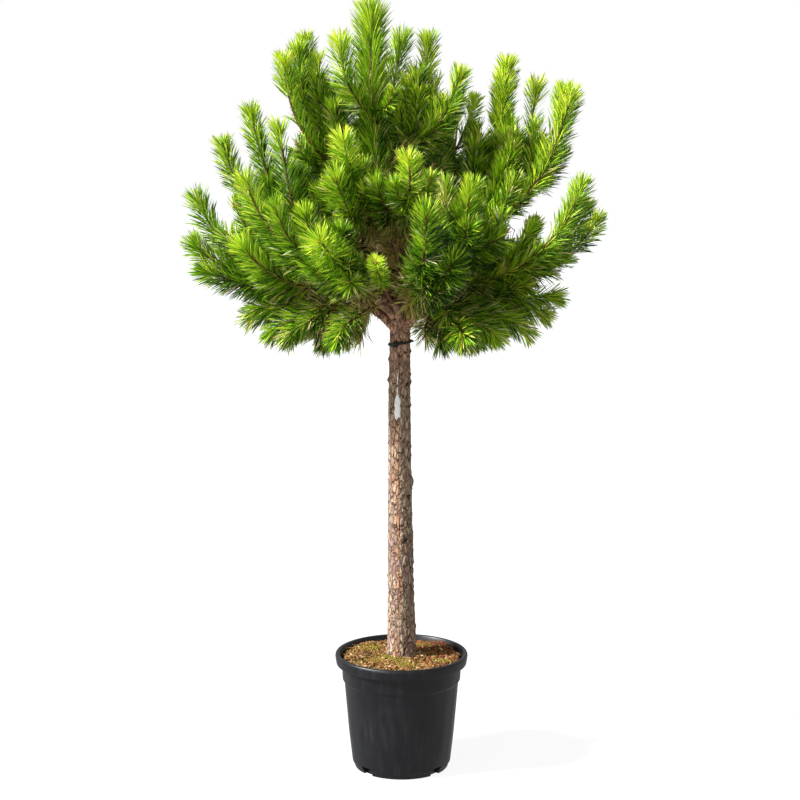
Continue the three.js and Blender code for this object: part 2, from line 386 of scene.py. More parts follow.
def set_attribute(mesh: bpy.types.Mesh, label: str, kind: str, values: Points) -> None:
    """Stores a value at each point of a mesh.

    Args:
        mesh: the mesh.
        label: the attribute's name.
        kind: FLOAT, INT or FLOAT_VECTOR.
        values: one value a point.
    """
    attribute = mesh.attributes.new(label, kind, "POINT")
    key = "vector" if kind == "FLOAT_VECTOR" else "value"
    attribute.data.foreach_set(key, np.asarray(values).ravel())


def finish_piece(piece: bpy.types.Object, slot: str, *nodes: str) -> None:
    """Fixes a finished piece to the body, hides the CAD nodes that it replaces and logs its triangles.

    Args:
        piece: the piece.
        slot: the material slot; not used.
        nodes: the CAD nodes that it replaces.
    """
    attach(piece, BODY)
    if nodes:
        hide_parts(*nodes)
    triangles = sum(len(face.vertices) - 2 for face in piece.data.polygons)
    log.info("%s: %d triangles", piece.name, triangles)


def grid_faces(rows: int, columns: int) -> list[Face]:
    """The four-sided faces between rings of points, each ring closed on itself.

    Args:
        rows: how many rings.
        columns: points in a ring.

    Returns:
        The faces, which point outwards where each ring runs counter-clockwise round its forward direction.
    """
    here = np.arange(columns)
    following = (here + 1) % columns
    faces = []
    for low in range(0, (rows - 1) * columns, columns):
        high = low + columns
        block = np.stack([low + here, low + following, high + following, high + here], axis=1)
        faces.extend(map(tuple, block.tolist()))
    return faces


def shell_faces(rows: int, columns: int) -> list[Face]:
    """The faces of a closed shell, whose last two points are the poles at its first and its last ring.

    Args:
        rows: how many rings.
        columns: points in a ring.

    Returns:
        The faces.
    """
    foot, last = rows * columns, (rows - 1) * columns
    under = [((index + 1) % columns, index, foot) for index in range(columns)]
    over = [(last + index, last + (index + 1) % columns, foot + 1) for index in range(columns)]
    return grid_faces(rows, columns) + under + over


@dataclass
class Soup:
    """Points and faces of many small closed shapes that end up in one mesh."""

    points: list[Points] = field(default_factory=list)
    faces: list[Face] = field(default_factory=list)
    marks: list[Points] = field(default_factory=list)
    count: int = 0

    def add(self, points: Points, faces: list[Face], marks: Points | None = None) -> "Soup":
        """Adds a shape.

        Args:
            points: its points.
            faces: its faces, numbered from its own first point.
            marks: what is noted at each point, for an attribute.

        Returns:
            The soup itself.
        """
        self.faces.extend(tuple(self.count + index for index in face) for face in faces)
        self.points.append(points)
        if marks is not None:
            self.marks.append(marks)
        self.count += len(points)
        return self

    def mesh(self, name: str, smooth: bool = True) -> bpy.types.Mesh:
        """Joins the shapes into one mesh."""
        return make_mesh(name, np.vstack(self.points), self.faces, smooth)


@dataclass
class Sown:
    """Copies of small shapes: where each starts, its aim, the way its side lies, its size and its shade."""

    start: Points
    aim: Points
    lean: Points
    girth: Points
    reach: Points
    shade: Points

    @classmethod
    def joined(cls, parts: Sequence["Sown"]) -> "Sown":
        """The copies of several sowings in one."""
        return cls(*(np.concatenate([getattr(part, item.name) for part in parts]) for item in fields(cls)))

    def kept(self, wanted: Points) -> "Sown":
        """Only the copies for which wanted is true."""
        return Sown(*(getattr(self, item.name)[wanted] for item in fields(self)))

    def mesh(self) -> bpy.types.Mesh:
        """The copies as bare points with attributes, from which a recipe starts.

        Returns:
            The mesh.
        """
        mesh = make_mesh("sown", self.start, [])
        for label in ("aim", "lean"):
            set_attribute(mesh, label, "FLOAT_VECTOR", getattr(self, label))
        for label in ("girth", "reach"):
            set_attribute(mesh, label, "FLOAT", getattr(self, label))
        set_attribute(mesh, "shade", "INT", self.shade.astype(np.int32))
        return mesh


# ---- paths


def unit(vectors: Points) -> Points:
    """Brings vectors to length 1."""
    return vectors / np.maximum(np.linalg.norm(vectors, axis=-1, keepdims=True), 1e-12)


def polar(bearing: float, reach: float, height: float) -> Points:
    """The point at a bearing, a reach from the axis and a height, in metres from millimetres."""
    angle = math.radians(bearing)
    return np.array([reach * math.cos(angle), reach * math.sin(angle), height]) * MM


def whole_turn(count: int) -> Points:
    """Evenly spread bearings of one whole turn, in radians."""
    return np.arange(count) * 2 * math.pi / count


def outwards(bearing: Points) -> Points:
    """Level unit vectors that point out from the axis at bearings in radians."""
    return np.stack([np.cos(bearing), np.sin(bearing), np.zeros_like(bearing)], axis=-1)


def turned_from(bearing: Points, degrees: float) -> Points:
    """How far bearings in radians are turned from one in degrees, from -pi to pi."""
    return (bearing - math.radians(degrees) + math.pi) % (2 * math.pi) - math.pi


def bend(start: Points, middle: Points, end: Points, steps: int) -> Points:
    """A curve from start to end that leans towards a middle point."""
    share = np.linspace(0, 1, steps)[:, None]
    return (1 - share) ** 2 * start + 2 * share * (1 - share) * middle + share**2 * end


def arch(start: Points, end: Points, run_share: float, rise_share: float, steps: int) -> Points:
    """A curve in one upright plane, whose bend lies at the given shares of its run and of its rise."""
    middle = start + (end - start) * np.array([run_share, run_share, rise_share])
    return bend(start, middle, end, steps)


def lengths(path: Points) -> Points:
    """The length along a path at each of its points."""
    return np.concatenate([[0.0], np.cumsum(np.linalg.norm(np.diff(path, axis=0), axis=1))])


def at_lengths(path: Points, wanted: Points, values: Points | None = None) -> Points:
    """The points of a path, or the vectors given at its points, at lengths along it.

    Args:
        path: the path's points.
        wanted: the lengths.
        values: a vector at each point of the path, where its points aren't wanted.

    Returns:
        One point or vector for each length.
    """
    along = lengths(path)
    values = path if values is None else values
    return np.stack([np.interp(wanted, along, values[:, axis]) for axis in range(3)], axis=-1)


def carried_frames(path: Points) -> tuple[Points, Points, Points]:
    """Forward, side and lift directions along a path, carried along it without twist.

    Args:
        path: the path's points.

    Returns:
        Three arrays of unit vectors; side, lift and forward are right-handed in this order.
    """
    forward = unit(np.gradient(path, axis=0))
    start = np.array([1.0, 0.0, 0.0]) if abs(forward[0, 0]) < 0.8 else np.array([0.0, 1.0, 0.0])
    side = np.empty_like(forward)
    for index, ahead in enumerate(forward):
        start = start - ahead * start.dot(ahead)
        start = start / np.linalg.norm(start)
        side[index] = start
    return forward, side, np.cross(forward, side)


def tube(path: Points, radii: Points, sides: int) -> tuple[Points, list[Face]]:
    """A closed round tube along a path.

    Args:
        path: the path's points.
        radii: the radius at each, or at each point of each ring.
        sides: points round it.

    Returns:
        Its points, the two end points last, and its faces.
    """
    _, side, lift = carried_frames(path)
    turn = whole_turn(sides)
    radii = np.broadcast_to(np.asarray(radii).reshape(len(path), -1), (len(path), sides))
    ring = np.cos(turn)[None, :, None] * side[:, None] + np.sin(turn)[None, :, None] * lift[:, None]
    points = (path[:, None] + ring * radii[..., None]).reshape(-1, 3)
    return np.vstack([points, path[:1], path[-1:]]), shell_faces(len(path), sides)


# ---- grain


class Grain:
    """Seeded noise on numpy arrays."""

    @staticmethod
    def scatter(*cells: Points) -> Points:
        """Deals each whole-numbered cell a number, the same each time.

        Args:
            cells: the cells' coordinates, and a seed.

        Returns:
            One number from 0 to 1 for each cell.
        """
        mixed = np.zeros(np.broadcast(*cells).shape, dtype=np.uint64)
        for step, cell in enumerate(cells):
            mixed = mixed * np.uint64(0x9E3779B1) + np.asarray(cell).astype(np.int64).astype(np.uint64)
            mixed ^= mixed >> np.uint64(15)
            mixed *= np.uint64(0x85EBCA77C2B2AE63 + 2 * step)
            mixed ^= mixed >> np.uint64(29)
        return (mixed >> np.uint64(11)).astype(np.float64) / float(1 << 53)

    @classmethod
    def clouds(cls, place: Points, seed: int) -> Points:
        """Smooth noise from -1 to 1.

        Args:
            place: points, in clouds.
            seed: picks the pattern.

        Returns:
            The noise at each point.
        """
        cell = np.floor(place)
        share = place - cell
        share = share * share * (3 - 2 * share)
        total = np.zeros(place.shape[:-1])
        for corner in np.ndindex(2, 2, 2):
            weight = np.prod(np.where(corner, share, 1 - share), axis=-1)
            total += weight * cls.scatter(*np.moveaxis(cell + corner, -1, 0), np.array(seed))
        return 2 * total - 1

    @classmethod
    def layers(cls, place: Points, seed: int, count: int = 3) -> Points:
        """Noise with finer noise on top of it, about -1 to 1."""
        total = sum(cls.clouds(place * 2.1**n, seed + n) * 0.5**n for n in range(count))
        return total / (2 - 0.5 ** (count - 1))

    @classmethod
    def plates(cls, across: Points, along: Points, columns: int, seed: int) -> tuple[Points, Points, Points]:
        """Irregular plates like dried mud, on a surface that closes round on itself.

        Args:
            across: place round the surface, in cells; a whole turn is columns.
            along: place along it, in cells.
            columns: cells in a whole turn.
            seed: picks the pattern.

        Returns:
            How far each place is from a joint (0 on it), a number for its plate from 0 to 1, and how far up
            its plate it lies.
        """
        column, row = np.floor(across), np.floor(along)
        nearest = np.full(across.shape, 9.0)
        second = np.full(across.shape, 9.0)
        number = np.zeros(across.shape)
        climb = np.zeros(across.shape)
        for step_across in (-1, 0, 1):
            for step_along in (-1, 0, 1):
                cell, level = column + step_across, row + step_along
                wrapped = np.mod(cell, columns)
                x = cell + 0.12 + 0.76 * cls.scatter(wrapped, level, np.array(seed))
                y = level + 0.12 + 0.76 * cls.scatter(wrapped, level, np.array(seed + 1))
                distance = np.hypot(across - x, along - y)
                closer = distance < nearest
                second = np.where(closer, nearest, np.minimum(second, distance))
                number = np.where(closer, cls.scatter(wrapped, level, np.array(seed + 2)), number)
                climb = np.where(closer, along - y, climb)
                nearest = np.minimum(nearest, distance)
        return second - nearest, number, climb


def eased(value: Points, low: float, high: float) -> Points:
    """Eases from 0 to 1 while a value goes from low to high."""
    share = np.clip((value - low) / (high - low), 0, 1)
    return share * share * (3 - 2 * share)


# ---- finishes


@dataclass(frozen=True)
class Finish:
    """A finish that is the same all over, as the shades are that small repeated things are dealt."""

    name: str
    colour: Colour
    roughness: float = 0.5
    specular: float = 0.4

    def make(self) -> bpy.types.Material:
        """Makes the material.

        Returns:
            The material.
        """
        material = bpy.data.materials.new(self.name)
        material.use_nodes = True
        sockets = material.node_tree.nodes["Principled BSDF"].inputs
        sockets["Base Color"].default_value = self.colour
        sockets["Roughness"].default_value = self.roughness
        sockets["Specular IOR Level"].default_value = self.specular
        self.dress(Graph(material.node_tree), sockets)
        return material

    def dress(self, graph: Graph, sockets: Sockets) -> None:
        """Adds what changes over the surface: on a plain finish, nothing."""


@dataclass(frozen=True)
class BarkFinish(Finish):
    """Scaly bark: flakes of several browns with dark joints, led by the mesh's tone, joint and warmth."""

    colour: Colour = paint(154, 130, 118)
    roughness: float = 0.85
    specular: float = 0.2
    shades: tuple[Colour, ...] = (
        paint(112, 90, 82), paint(154, 130, 118), paint(184, 162, 138), paint(206, 186, 158),
        paint(234, 218, 194),
    )
    joint: Colour = paint(38, 26, 18)
    inner: Colour = paint(118, 84, 62)
    peach: Colour = paint(208, 146, 106)
    mauve: Colour = paint(158, 132, 124)
    # The younger bark near the fork, set paler than it is as painted light where the crown shades it.
    young: Colour = paint(228, 178, 148)
    moss: Colour = paint(138, 132, 102)
    flakes: float = 84.0
    flake_warp: float = 16.0
    grain_length: float = 0.42
    crack_length: float = 0.13
    relief: float = 3.0
    fork_height: float = 1330.0
    young_span: float = 240.0

    def dress(self, graph: Graph, sockets: Sockets) -> None:
        """Lays the flakes and their tints, the younger bark at the fork, the cracks and seams, and painted
        light.

        Args:
            graph: the material's graph.
            sockets: the main shader's inputs.
        """
        tone, joint, warmth = graph.mark("tone"), graph.mark("joint"), graph.mark("warmth")
        place = graph.stretched(1.0, self.grain_length)
        coarse = graph.noise(place, 60, 3)
        fine = graph.noise(place, 300, 3, 0.6)
        patches = graph.noise(place, 21, 2)
        seam, number, climb = graph.cells(graph.warped(place, 90, self.flake_warp * MM), self.flakes)

        stops = [(index / (len(self.shades) - 1), shade) for index, shade in enumerate(self.shades)]
        # Painted highlight: climb makes each flake paler towards its upper edge, as if lit from above.
        blended = number * 0.34 + tone * 0.2 + (coarse - 0.5) * 0.9 + (fine - 0.5) * 0.3 + climb * 0.12 + 0.2
        plate = graph.add("ShaderNodeValToRGB", {"stops": stops}, {"Fac": blended}, out="Color")
        mauve = graph.step(patches, 0.5, 0.6) * (1 - graph.step(number, 0.55, 0.9))
        moss = graph.step(1 - patches, 0.56, 0.66) * graph.step(fine, 0.4, 0.6)
        peach = graph.step(warmth, 0.4, 0.85) * graph.step(number, 0.1, 0.5)
        # Near the fork the bark is the younger orange bark, painted paler than it is to stand in for light
        # where the crown shades the fork.
        height = graph.add("ShaderNodeSeparateXYZ", None, {"Vector": graph.stretched(1.0, 1.0)}, out="Z")
        fork = self.fork_height * MM
        rise = graph.step(height, fork - self.young_span * MM, fork + 50 * MM)
        young = rise * graph.step(coarse, 0.2, 0.55)
        plate = graph.mix(plate, self.mauve, mauve * 0.75)
        plate = graph.mix(plate, self.moss, moss * 0.5)
        plate = graph.mix(plate, self.peach, peach * 0.65)
        plate = graph.mix(plate, self.young, young * 0.85)

        cracks = graph.noise(graph.stretched(1.0, self.crack_length), 46, 2)
        crack = (1 - graph.step(cracks, 0.5, 0.53)) * graph.step(cracks, 0.47, 0.5)
        flecks = graph.step(fine, 0.6, 0.68) * graph.step(coarse, 0.4, 0.6)
        opened = graph.step(coarse + number * 0.3, 0.52, 0.68)
        # Painted shade: the seams are darkest under each flake's lower edge, where it would cast its shadow;
        # the rest of their darkness is the bark's own joints.
        under = (1 - graph.step(climb, -0.45, 0.0)) * 0.8 + 0.2
        base = graph.mix(plate, self.inner, (1 - graph.step(seam, 0.04, 0.24)) * 0.5 + crack * 0.4)
        base = graph.mix(base, self.joint, flecks * 0.5)
        base = graph.mix(base, self.joint, (1 - graph.step(seam, 0.04, 0.16)) * opened * under)
        base = graph.mix(base, self.joint, (1 - graph.step(joint, 0.02, 0.3)) * 0.55)
        graph.feed(sockets["Base Color"], base)
        relief = graph.step(seam, 0.0, 0.2) * (0.9 - climb * 0.7) + (fine + coarse) * 0.4 - crack * 0.4
        graph.feed(sockets["Normal"], graph.bump(relief, self.relief * MM, 0.9))


@dataclass(frozen=True)
class PlasticFinish(Finish):
    """Moulded black plastic with a dull sheen, dusty in streaks and in clouds."""

    name: str = "pot_plastic"
    colour: Colour = paint(12, 13, 18)
    roughness: float = 0.4
    specular: float = 0.5
    dusty: Colour = paint(50, 50, 52)
    streak_length: float = 0.12
    relief: float = 0.25

    def dress(self, graph: Graph, sockets: Sockets) -> None:
        """Adds the dust and the fine grain.

        Args:
            graph: the material's graph.
            sockets: the main shader's inputs.
        """
        streaks = graph.noise(graph.stretched(1.0, self.streak_length), 38, 4, 0.6)
        clouds = graph.noise(graph.stretched(1.0, 1.0), 9, 3)
        grain = graph.noise(graph.stretched(1.0, 1.0), 900, 2)
        dust = graph.step(streaks, 0.45, 0.8) * 0.5 + graph.step(clouds, 0.5, 0.8) * 0.3
        graph.feed(sockets["Base Color"], graph.mix(self.colour, self.dusty, dust))
        graph.feed(sockets["Roughness"], dust * 0.25 + 0.34 + grain * 0.08)
        graph.feed(sockets["Normal"], graph.bump(grain + clouds, self.relief * MM, 0.5))


@dataclass(frozen=True)
class MottledFinish(Finish):
    """Two colours in clouds, which are also a slight relief."""

    other: Colour = (1.0, 1.0, 1.0, 1.0)
    clouds: float = 150.0
    detail: float = 3.0
    harshness: float = 0.55
    cloud_length: float = 1.0
    edge: tuple[float, float] = (0.45, 0.7)
    share: float = 1.0
    relief: float = 1.0
    relief_share: float = 0.6

    def dress(self, graph: Graph, sockets: Sockets) -> None:
        """Adds the clouds.

        Args:
            graph: the material's graph.
            sockets: the main shader's inputs.
        """
        place = graph.stretched(1.0, self.cloud_length)
        clouds = graph.noise(place, self.clouds, self.detail, self.harshness)
        mottled = graph.mix(self.colour, self.other, graph.step(clouds, *self.edge) * self.share)
        graph.feed(sockets["Base Color"], mottled)
        graph.feed(sockets["Normal"], graph.bump(clouds, self.relief * MM, self.relief_share))


@dataclass(frozen=True)
class TwigFinish(MottledFinish):
    """Young wood: brown, with paler scars where needles were."""

    name: str = "twig_wood"
    colour: Colour = paint(92, 58, 36)
    other: Colour = paint(152, 112, 72)
    roughness: float = 0.75
    specular: float = 0.3
    clouds: float = 260.0
    detail: float = 2.0
    relief: float = 0.8


@dataclass(frozen=True)
class SoilFinish(MottledFinish):
    """Damp compost between the chips of bark."""

    name: str = "soil_crumb"
    colour: Colour = paint(44, 30, 20)
    other: Colour = paint(112, 80, 46)
    roughness: float = 0.95
    specular: float = 0.15
    clouds: float = 190.0
    detail: float = 5.0
    harshness: float = 0.7
    edge: tuple[float, float] = (0.36, 0.66)
    relief: float = 4.0
    relief_share: float = 1.0


@dataclass(frozen=True)
class TieFinish(MottledFinish):
    """Soft dark tying tube, mottled in clouds with a paler grey."""

    name: str = "tie_tube"
    colour: Colour = paint(26, 34, 29)
    other: Colour = paint(88, 92, 88)
    specular: float = 0.45
    clouds: float = 160.0
    edge: tuple[float, float] = (0.5, 0.75)
    share: float = 0.6
    relief: float = 0.4


@dataclass(frozen=True)
class ResinFinish(MottledFinish):
    """Dried white resin, greyer where it is thin."""

    name: str = "resin_dried"
    colour: Colour = paint(253, 251, 249)
    other: Colour = paint(206, 190, 194)
    roughness: float = 0.45
    specular: float = 0.5
    cloud_length: float = 0.5
    edge: tuple[float, float] = (0.56, 0.76)


@dataclass(frozen=True)
class FloorFinish(Finish):
    """A pale floor with a glow of its own, which takes only a faint shadow."""

    name: str = "floor_pale"
    colour: Colour = (0.14, 0.14, 0.14, 1.0)
    roughness: float = 1.0
    specular: float = 0.0
    glow: float = 0.9

    def dress(self, graph: Graph, sockets: Sockets) -> None:
        """Adds the glow."""
        sockets["Emission Color"].default_value = (1, 1, 1, 1)
        sockets["Emission Strength"].default_value = self.glow


class Shade(Enum):
    """Plain finishes that small repeated things are dealt by number."""

    @classmethod
    def finishes(cls) -> list[Finish]:
        """The finishes in the order of their numbers."""
        return [shade.value for shade in cls]

    @property
    def number(self) -> int:
        """The shade's number."""
        return list(type(self)).index(self)


class NeedleShade(Shade):
    """The shades of the needles, from the newest growth to dead ones, and a glint: a painted highlight."""

    LIME = Finish("needle_lime", paint(236, 248, 80), 0.4, 0.45)
    SPRING = Finish("needle_spring", paint(202, 230, 56), 0.4, 0.45)
    FRESH = Finish("needle_fresh", paint(163, 208, 38), 0.4, 0.45)
    GREEN = Finish("needle_green", paint(128, 176, 28), 0.4, 0.45)
    DEEP = Finish("needle_deep", paint(84, 130, 20), 0.4, 0.45)
    DARK = Finish("needle_dark", paint(36, 74, 14), 0.42, 0.45)
    OLIVE = Finish("needle_olive", paint(222, 208, 118), 0.45, 0.4)
    # A painted highlight: near-white, dealt to a few pairs at random as glints of light.
    GLINT = Finish("needle_glint", paint(244, 248, 190), 0.36, 0.6)
    STRAW = Finish("needle_straw", paint(250, 228, 172), 0.5, 0.4)

    @classmethod
    def of(cls, freshness_and_painted_light: Points, chance: Points, fading: Points) -> Points:
        """Deals each needle its shade.

        Args:
            freshness_and_painted_light: 0 for the oldest or painted-shaded needles, 1 for the newest or
                painted-lit.
            chance: a random number for each.
            fading: how likely it is to be fading, 0 to 1.

        Returns:
            The number of each needle's shade.
        """
        greens = [cls.LIME, cls.SPRING, cls.FRESH, cls.GREEN, cls.DEEP, cls.DARK]
        step = np.clip(((1 - freshness_and_painted_light) * len(greens)).astype(int), 0, len(greens) - 1)
        shade = np.array([green.number for green in greens])[step]
        shade = np.where(chance < fading * 0.8, cls.OLIVE.number, shade)
        return np.where(chance < fading * 0.42, cls.STRAW.number, shade)


class ChipShade(Shade):
    """The shades of the bark chips."""

    ORANGE = Finish("chip_orange", paint(152, 102, 58), 0.85, 0.2)
    TAN = Finish("chip_tan", paint(176, 140, 90), 0.85, 0.2)
    BROWN = Finish("chip_brown", paint(112, 82, 48), 0.85, 0.2)
    RED = Finish("chip_red", paint(122, 66, 42), 0.85, 0.2)
    DARK = Finish("chip_dark", paint(58, 42, 30), 0.9, 0.15)
    PALE = Finish("chip_pale", paint(212, 184, 138), 0.85, 0.2)
    OLIVE = Finish("chip_olive", paint(124, 110, 58), 0.9, 0.15)


class MossShade(Shade):
    """The shades of the moss and of the needles that fell on the soil."""

    MOSS = Finish("moss_green", paint(124, 120, 48), 0.9, 0.1)
    YELLOW = Finish("moss_yellow", paint(176, 150, 66), 0.9, 0.1)
    SHADED = Finish("moss_dark", paint(82, 82, 40), 0.9, 0.1)
    FALLEN = Finish("needle_fallen", paint(166, 112, 62), 0.7, 0.2)


class BudShade(Shade):
    """The shades of the buds."""

    BROWN = Finish("bud_brown", paint(164, 112, 66), 0.6, 0.3)
    PALE = Finish("bud_pale", paint(196, 156, 108), 0.6, 0.3)


class Sower(Recipe):
    """Puts one of several small shapes on each point of a mesh, aimed, sized and painted by attributes."""

    def __init__(self, name: str, shapes: Sequence[Soup], shades: type[Shade]) -> None:
        """Writes the tree.

        Args:
            name: the tree's name.
            shapes: the shapes to pick from, 1 long along Z and 1 wide.
            shades: the finishes that the shade attribute counts.
        """
        super().__init__(name, {"Seed": 1})
        labels = [f"{name}_{index}" for index in range(len(shapes))]
        self.templates = [put(label, shape.mesh(label, smooth=False)) for label, shape in zip(labels, shapes)]
        choice = {4: 0, 5: len(shapes) - 1, "Seed": self.given("Seed")}
        chance = self.add("FunctionNodeRandomValue", {"data_type": "INT"}, choice, out=2)
        axes = {0: self.attribute("aim", "FLOAT_VECTOR"), 1: self.attribute("lean", "FLOAT_VECTOR")}
        turned = self.add("FunctionNodeAxesToRotation", {"primary_axis": "Z", "secondary_axis": "X"}, axes)
        girth, reach = self.attribute("girth", "FLOAT"), self.attribute("reach", "FLOAT")
        size = self.add("ShaderNodeCombineXYZ", None, {0: girth, 1: girth, 2: reach})
        values = {
            "Points": self.given("Geometry"),
            "Instance": self.pick(self.templates),
            "Pick Instance": True,
            "Instance Index": chance,
            "Rotation": turned,
            "Scale": size,
        }
        placed = self.add("GeometryNodeInstanceOnPoints", None, values)
        real = self.add("GeometryNodeRealizeInstances", None, {"Geometry": placed})
        self.close(self.paint_by(real, "shade", [finish.make() for finish in shades.finishes()]))

    def sow(self, name: str, sown: Sown, seed: int) -> bpy.types.Object:
        """Makes the copies as one piece, with the seed that picks the shape of each."""
        return self.use(name, sown.mesh(), {"Seed": seed})

    def clear(self) -> None:
        """Removes the shapes to pick from, which aren't part of the tree."""
        for template in self.templates:
            bpy.data.objects.remove(template)


def strew(name: str, slot: str, shapes: Sequence[Soup], shades: type[Shade], sown: Sown, seed: int) -> None:
    """Makes one finished piece of many small things.

    Args:
        name: the piece's name.
        slot: the material slot, passed on to finish_piece.
        shapes: the shapes to pick from.
        shades: the finishes that the copies' shades count.
        sown: the copies.
        seed: picks the shape of each.
    """
    sower = Sower(f"{name}_shape", shapes, shades)
    finish_piece(sower.sow(name, sown, seed), slot)
    sower.clear()


# ---- pot


@dataclass
class Pot:
    """The round container: a rolled lip, a shoulder, a body of faint flats and a notched foot."""

    height: float = 355.0
    rim_radius: float = 202.0
    lip_height: float = 33.0
    wall: float = 3.0
    floor: float = 28.0
    shoulder_radius: float = 182.0
    shoulder_bottom: float = 179.5
    shoulder_height: float = 47.5
    body_top: float = 173.5
    body_middle: float = 160.5
    middle_height: float = 106.0
    body_foot: float = 150.0
    foot_radius: float = 144.0
    foot_height: float = 12.0
    notch_count: int = 4
    notch_width: float = 36.0
    notch_height: float = 22.0
    notch_depth: float = 12.0
    flats: int = 18
    flat_depth: float = 1.1
    rib_height: float = 0.9
    columns: int = 216
    notch_edge: float = 0.0006
    rib_share: float = 0.05

    @property
    def lip_foot(self) -> float:
        """The height of the lip's lower edge."""
        return self.height - self.lip_height

    @property
    def shoulder_foot(self) -> float:
        """The height of the shoulder's lower edge."""
        return self.lip_foot - self.shoulder_height

    @staticmethod
    def rounded(corners: Sequence[tuple[float, float, float]], steps: int = 5) -> Points:
        """Rounds the corners of an outline.

        Args:
            corners: radius, height and rounding of each corner.
            steps: points on each rounded corner.

        Returns:
            The outline's points.
        """
        outline = [np.array(corners[0][:2])]
        for before, (x, y, rounding), after in zip(corners, corners[1:], corners[2:]):
            corner = np.array([x, y])
            if rounding == 0:
                outline.append(corner)
                continue
            back, ahead = np.array(before[:2]) - corner, np.array(after[:2]) - corner
            reach = min(rounding, 0.45 * np.linalg.norm(back), 0.45 * np.linalg.norm(ahead))
            outline.extend(bend(corner + unit(back) * reach, corner, corner + unit(ahead) * reach, steps))
        outline.append(np.array(corners[-1][:2]))
        return np.array(outline)

    def outline(self) -> Points:
        """The wall's section, from the middle of the underside round the lip to the middle of the floor.

        Returns:
            Radius and height of its points, in millimetres.
        """
        top, lip, shoulder, inner = self.height, self.lip_foot, self.shoulder_foot, self.wall
        outside = [
            (0.0, 0.0, 0),
            (self.foot_radius - self.notch_depth, 0.0, 0),
            (self.foot_radius - self.notch_depth + 2, 0.0, 0),
            (self.foot_radius - 2, 0.0, 0),
            (self.foot_radius - 0.8, 1.6, 0),
            (self.foot_radius, self.foot_height - 2, 0.8),
            (self.foot_radius + 1, self.foot_height, 1.5),
            (self.body_foot, self.foot_height + 4, 3),
            (self.body_foot + 1, self.notch_height + 3, 0),
            (self.body_middle, self.middle_height, 20),
            (self.body_top, shoulder - 7, 3),
            (self.shoulder_bottom, shoulder - 1, 3.5),
            (self.shoulder_radius, lip, 1.5),
            (self.rim_radius - 4, lip, 2.5),
            (self.rim_radius - 1.5, lip + 14, 6),
            (self.rim_radius, top - 7, 6),
            (self.rim_radius - 2.5, top - 0.3, 3),
            (self.rim_radius - 12, top, 3),
            (self.rim_radius - 15, top - 7, 4),
            (self.shoulder_radius - inner, lip + 2, 4),
            (self.shoulder_bottom - inner, shoulder, 3),
            (self.body_top - inner, shoulder - 6, 3),
            (self.body_middle - inner, self.middle_height, 10),
            (self.body_foot - inner + 1, self.floor + 6, 4),
            (self.body_foot - inner - 6, self.floor, 3),
            (0.0, self.floor, 0),
        ]
        return self.rounded(outside)

    def turns(self) -> tuple[Points, Points]:
        """The columns' bearings.

        Returns:
            Each column's angle, with two columns close together at each side of a notch, and whether it lies
            in a notch.
        """
        angles = list(whole_turn(self.columns))
        inside = [False] * self.columns
        half = self.notch_width / 2 / self.foot_radius
        for notch in range(self.notch_count):
            middle = (notch + 0.5) / self.notch_count * 2 * math.pi
            for side in (-1, 1):
                angles += [middle + side * (half + self.notch_edge), middle + side * half]
                inside += [False, True]
            reach = half + self.notch_edge / 2
            inside = [cut or abs(angle - middle) < reach for cut, angle in zip(inside, angles)]
        order = np.argsort(angles)
        return np.array(angles)[order], np.array(inside)[order]

    def points(self) -> tuple[Points, int]:
        """The wall's points, ring after ring.

        Returns:
            The points between the two poles, and how many columns there are.
        """
        outline = self.outline()[1:-1]
        angles, notched = self.turns()
        radius = np.repeat(outline[:, :1], len(angles), axis=1)
        height = np.repeat(outline[:, 1:], len(angles), axis=1)
        ring = np.arange(len(outline))[:, None]
        outer = ring < np.argmax(outline[:, 1])

        shoulder = self.shoulder_foot
        flat = 0.5 - 0.5 * np.cos(angles * self.flats)
        span = eased(height, self.foot_height + 8, 60) * (1 - eased(height, shoulder - 30, shoulder - 8))
        radius -= np.where(outer, self.flat_depth * flat * span, 0)
        place = (angles * self.flats / (2 * math.pi) + 0.5) % 1 - 0.5
        rib = np.exp(-((place / self.rib_share) ** 2))
        band = eased(height, shoulder - 60, shoulder - 12) * (height < shoulder - 6)
        radius += np.where(outer, self.rib_height * rib * band, 0)

        recessed = notched[None, :] & outer & (height < self.notch_height)
        radius = np.where(recessed & (ring == 1), self.foot_radius - self.notch_depth, radius)
        height = np.where(recessed & (ring >= 1), self.notch_height + 0.1 * ring, height)
        points = np.stack([radius * np.cos(angles), radius * np.sin(angles), height], axis=-1) * MM
        return points.reshape(-1, 3), len(angles)

    def build(self) -> None:
        """Makes the pot and gives it its finish."""
        points, columns = self.points()
        poles = [[0, 0, 0], [0, 0, self.floor * MM]]
        faces = shell_faces(len(points) // columns, columns)
        piece = make_piece(make_mesh("pot_shell", np.vstack([points, poles]), faces), PlasticFinish())
        piece.data.set_sharp_from_angle(angle=math.radians(50))
        finish_piece(piece, "pot_plastic", "pot")

    def inner_radius(self, height: float) -> float:
        """The inside radius of the wall between the floor and the lip.

        Args:
            height: the height in millimetres.

        Returns:
            The radius in millimetres.
        """
        heights = [self.floor, self.middle_height, self.shoulder_foot - 6, self.shoulder_foot, self.lip_foot]
        radii = [self.body_foot, self.body_middle, self.body_top, self.shoulder_bottom, self.shoulder_radius]
        return float(np.interp(height, heights, radii)) - self.wall


# ---- trunk


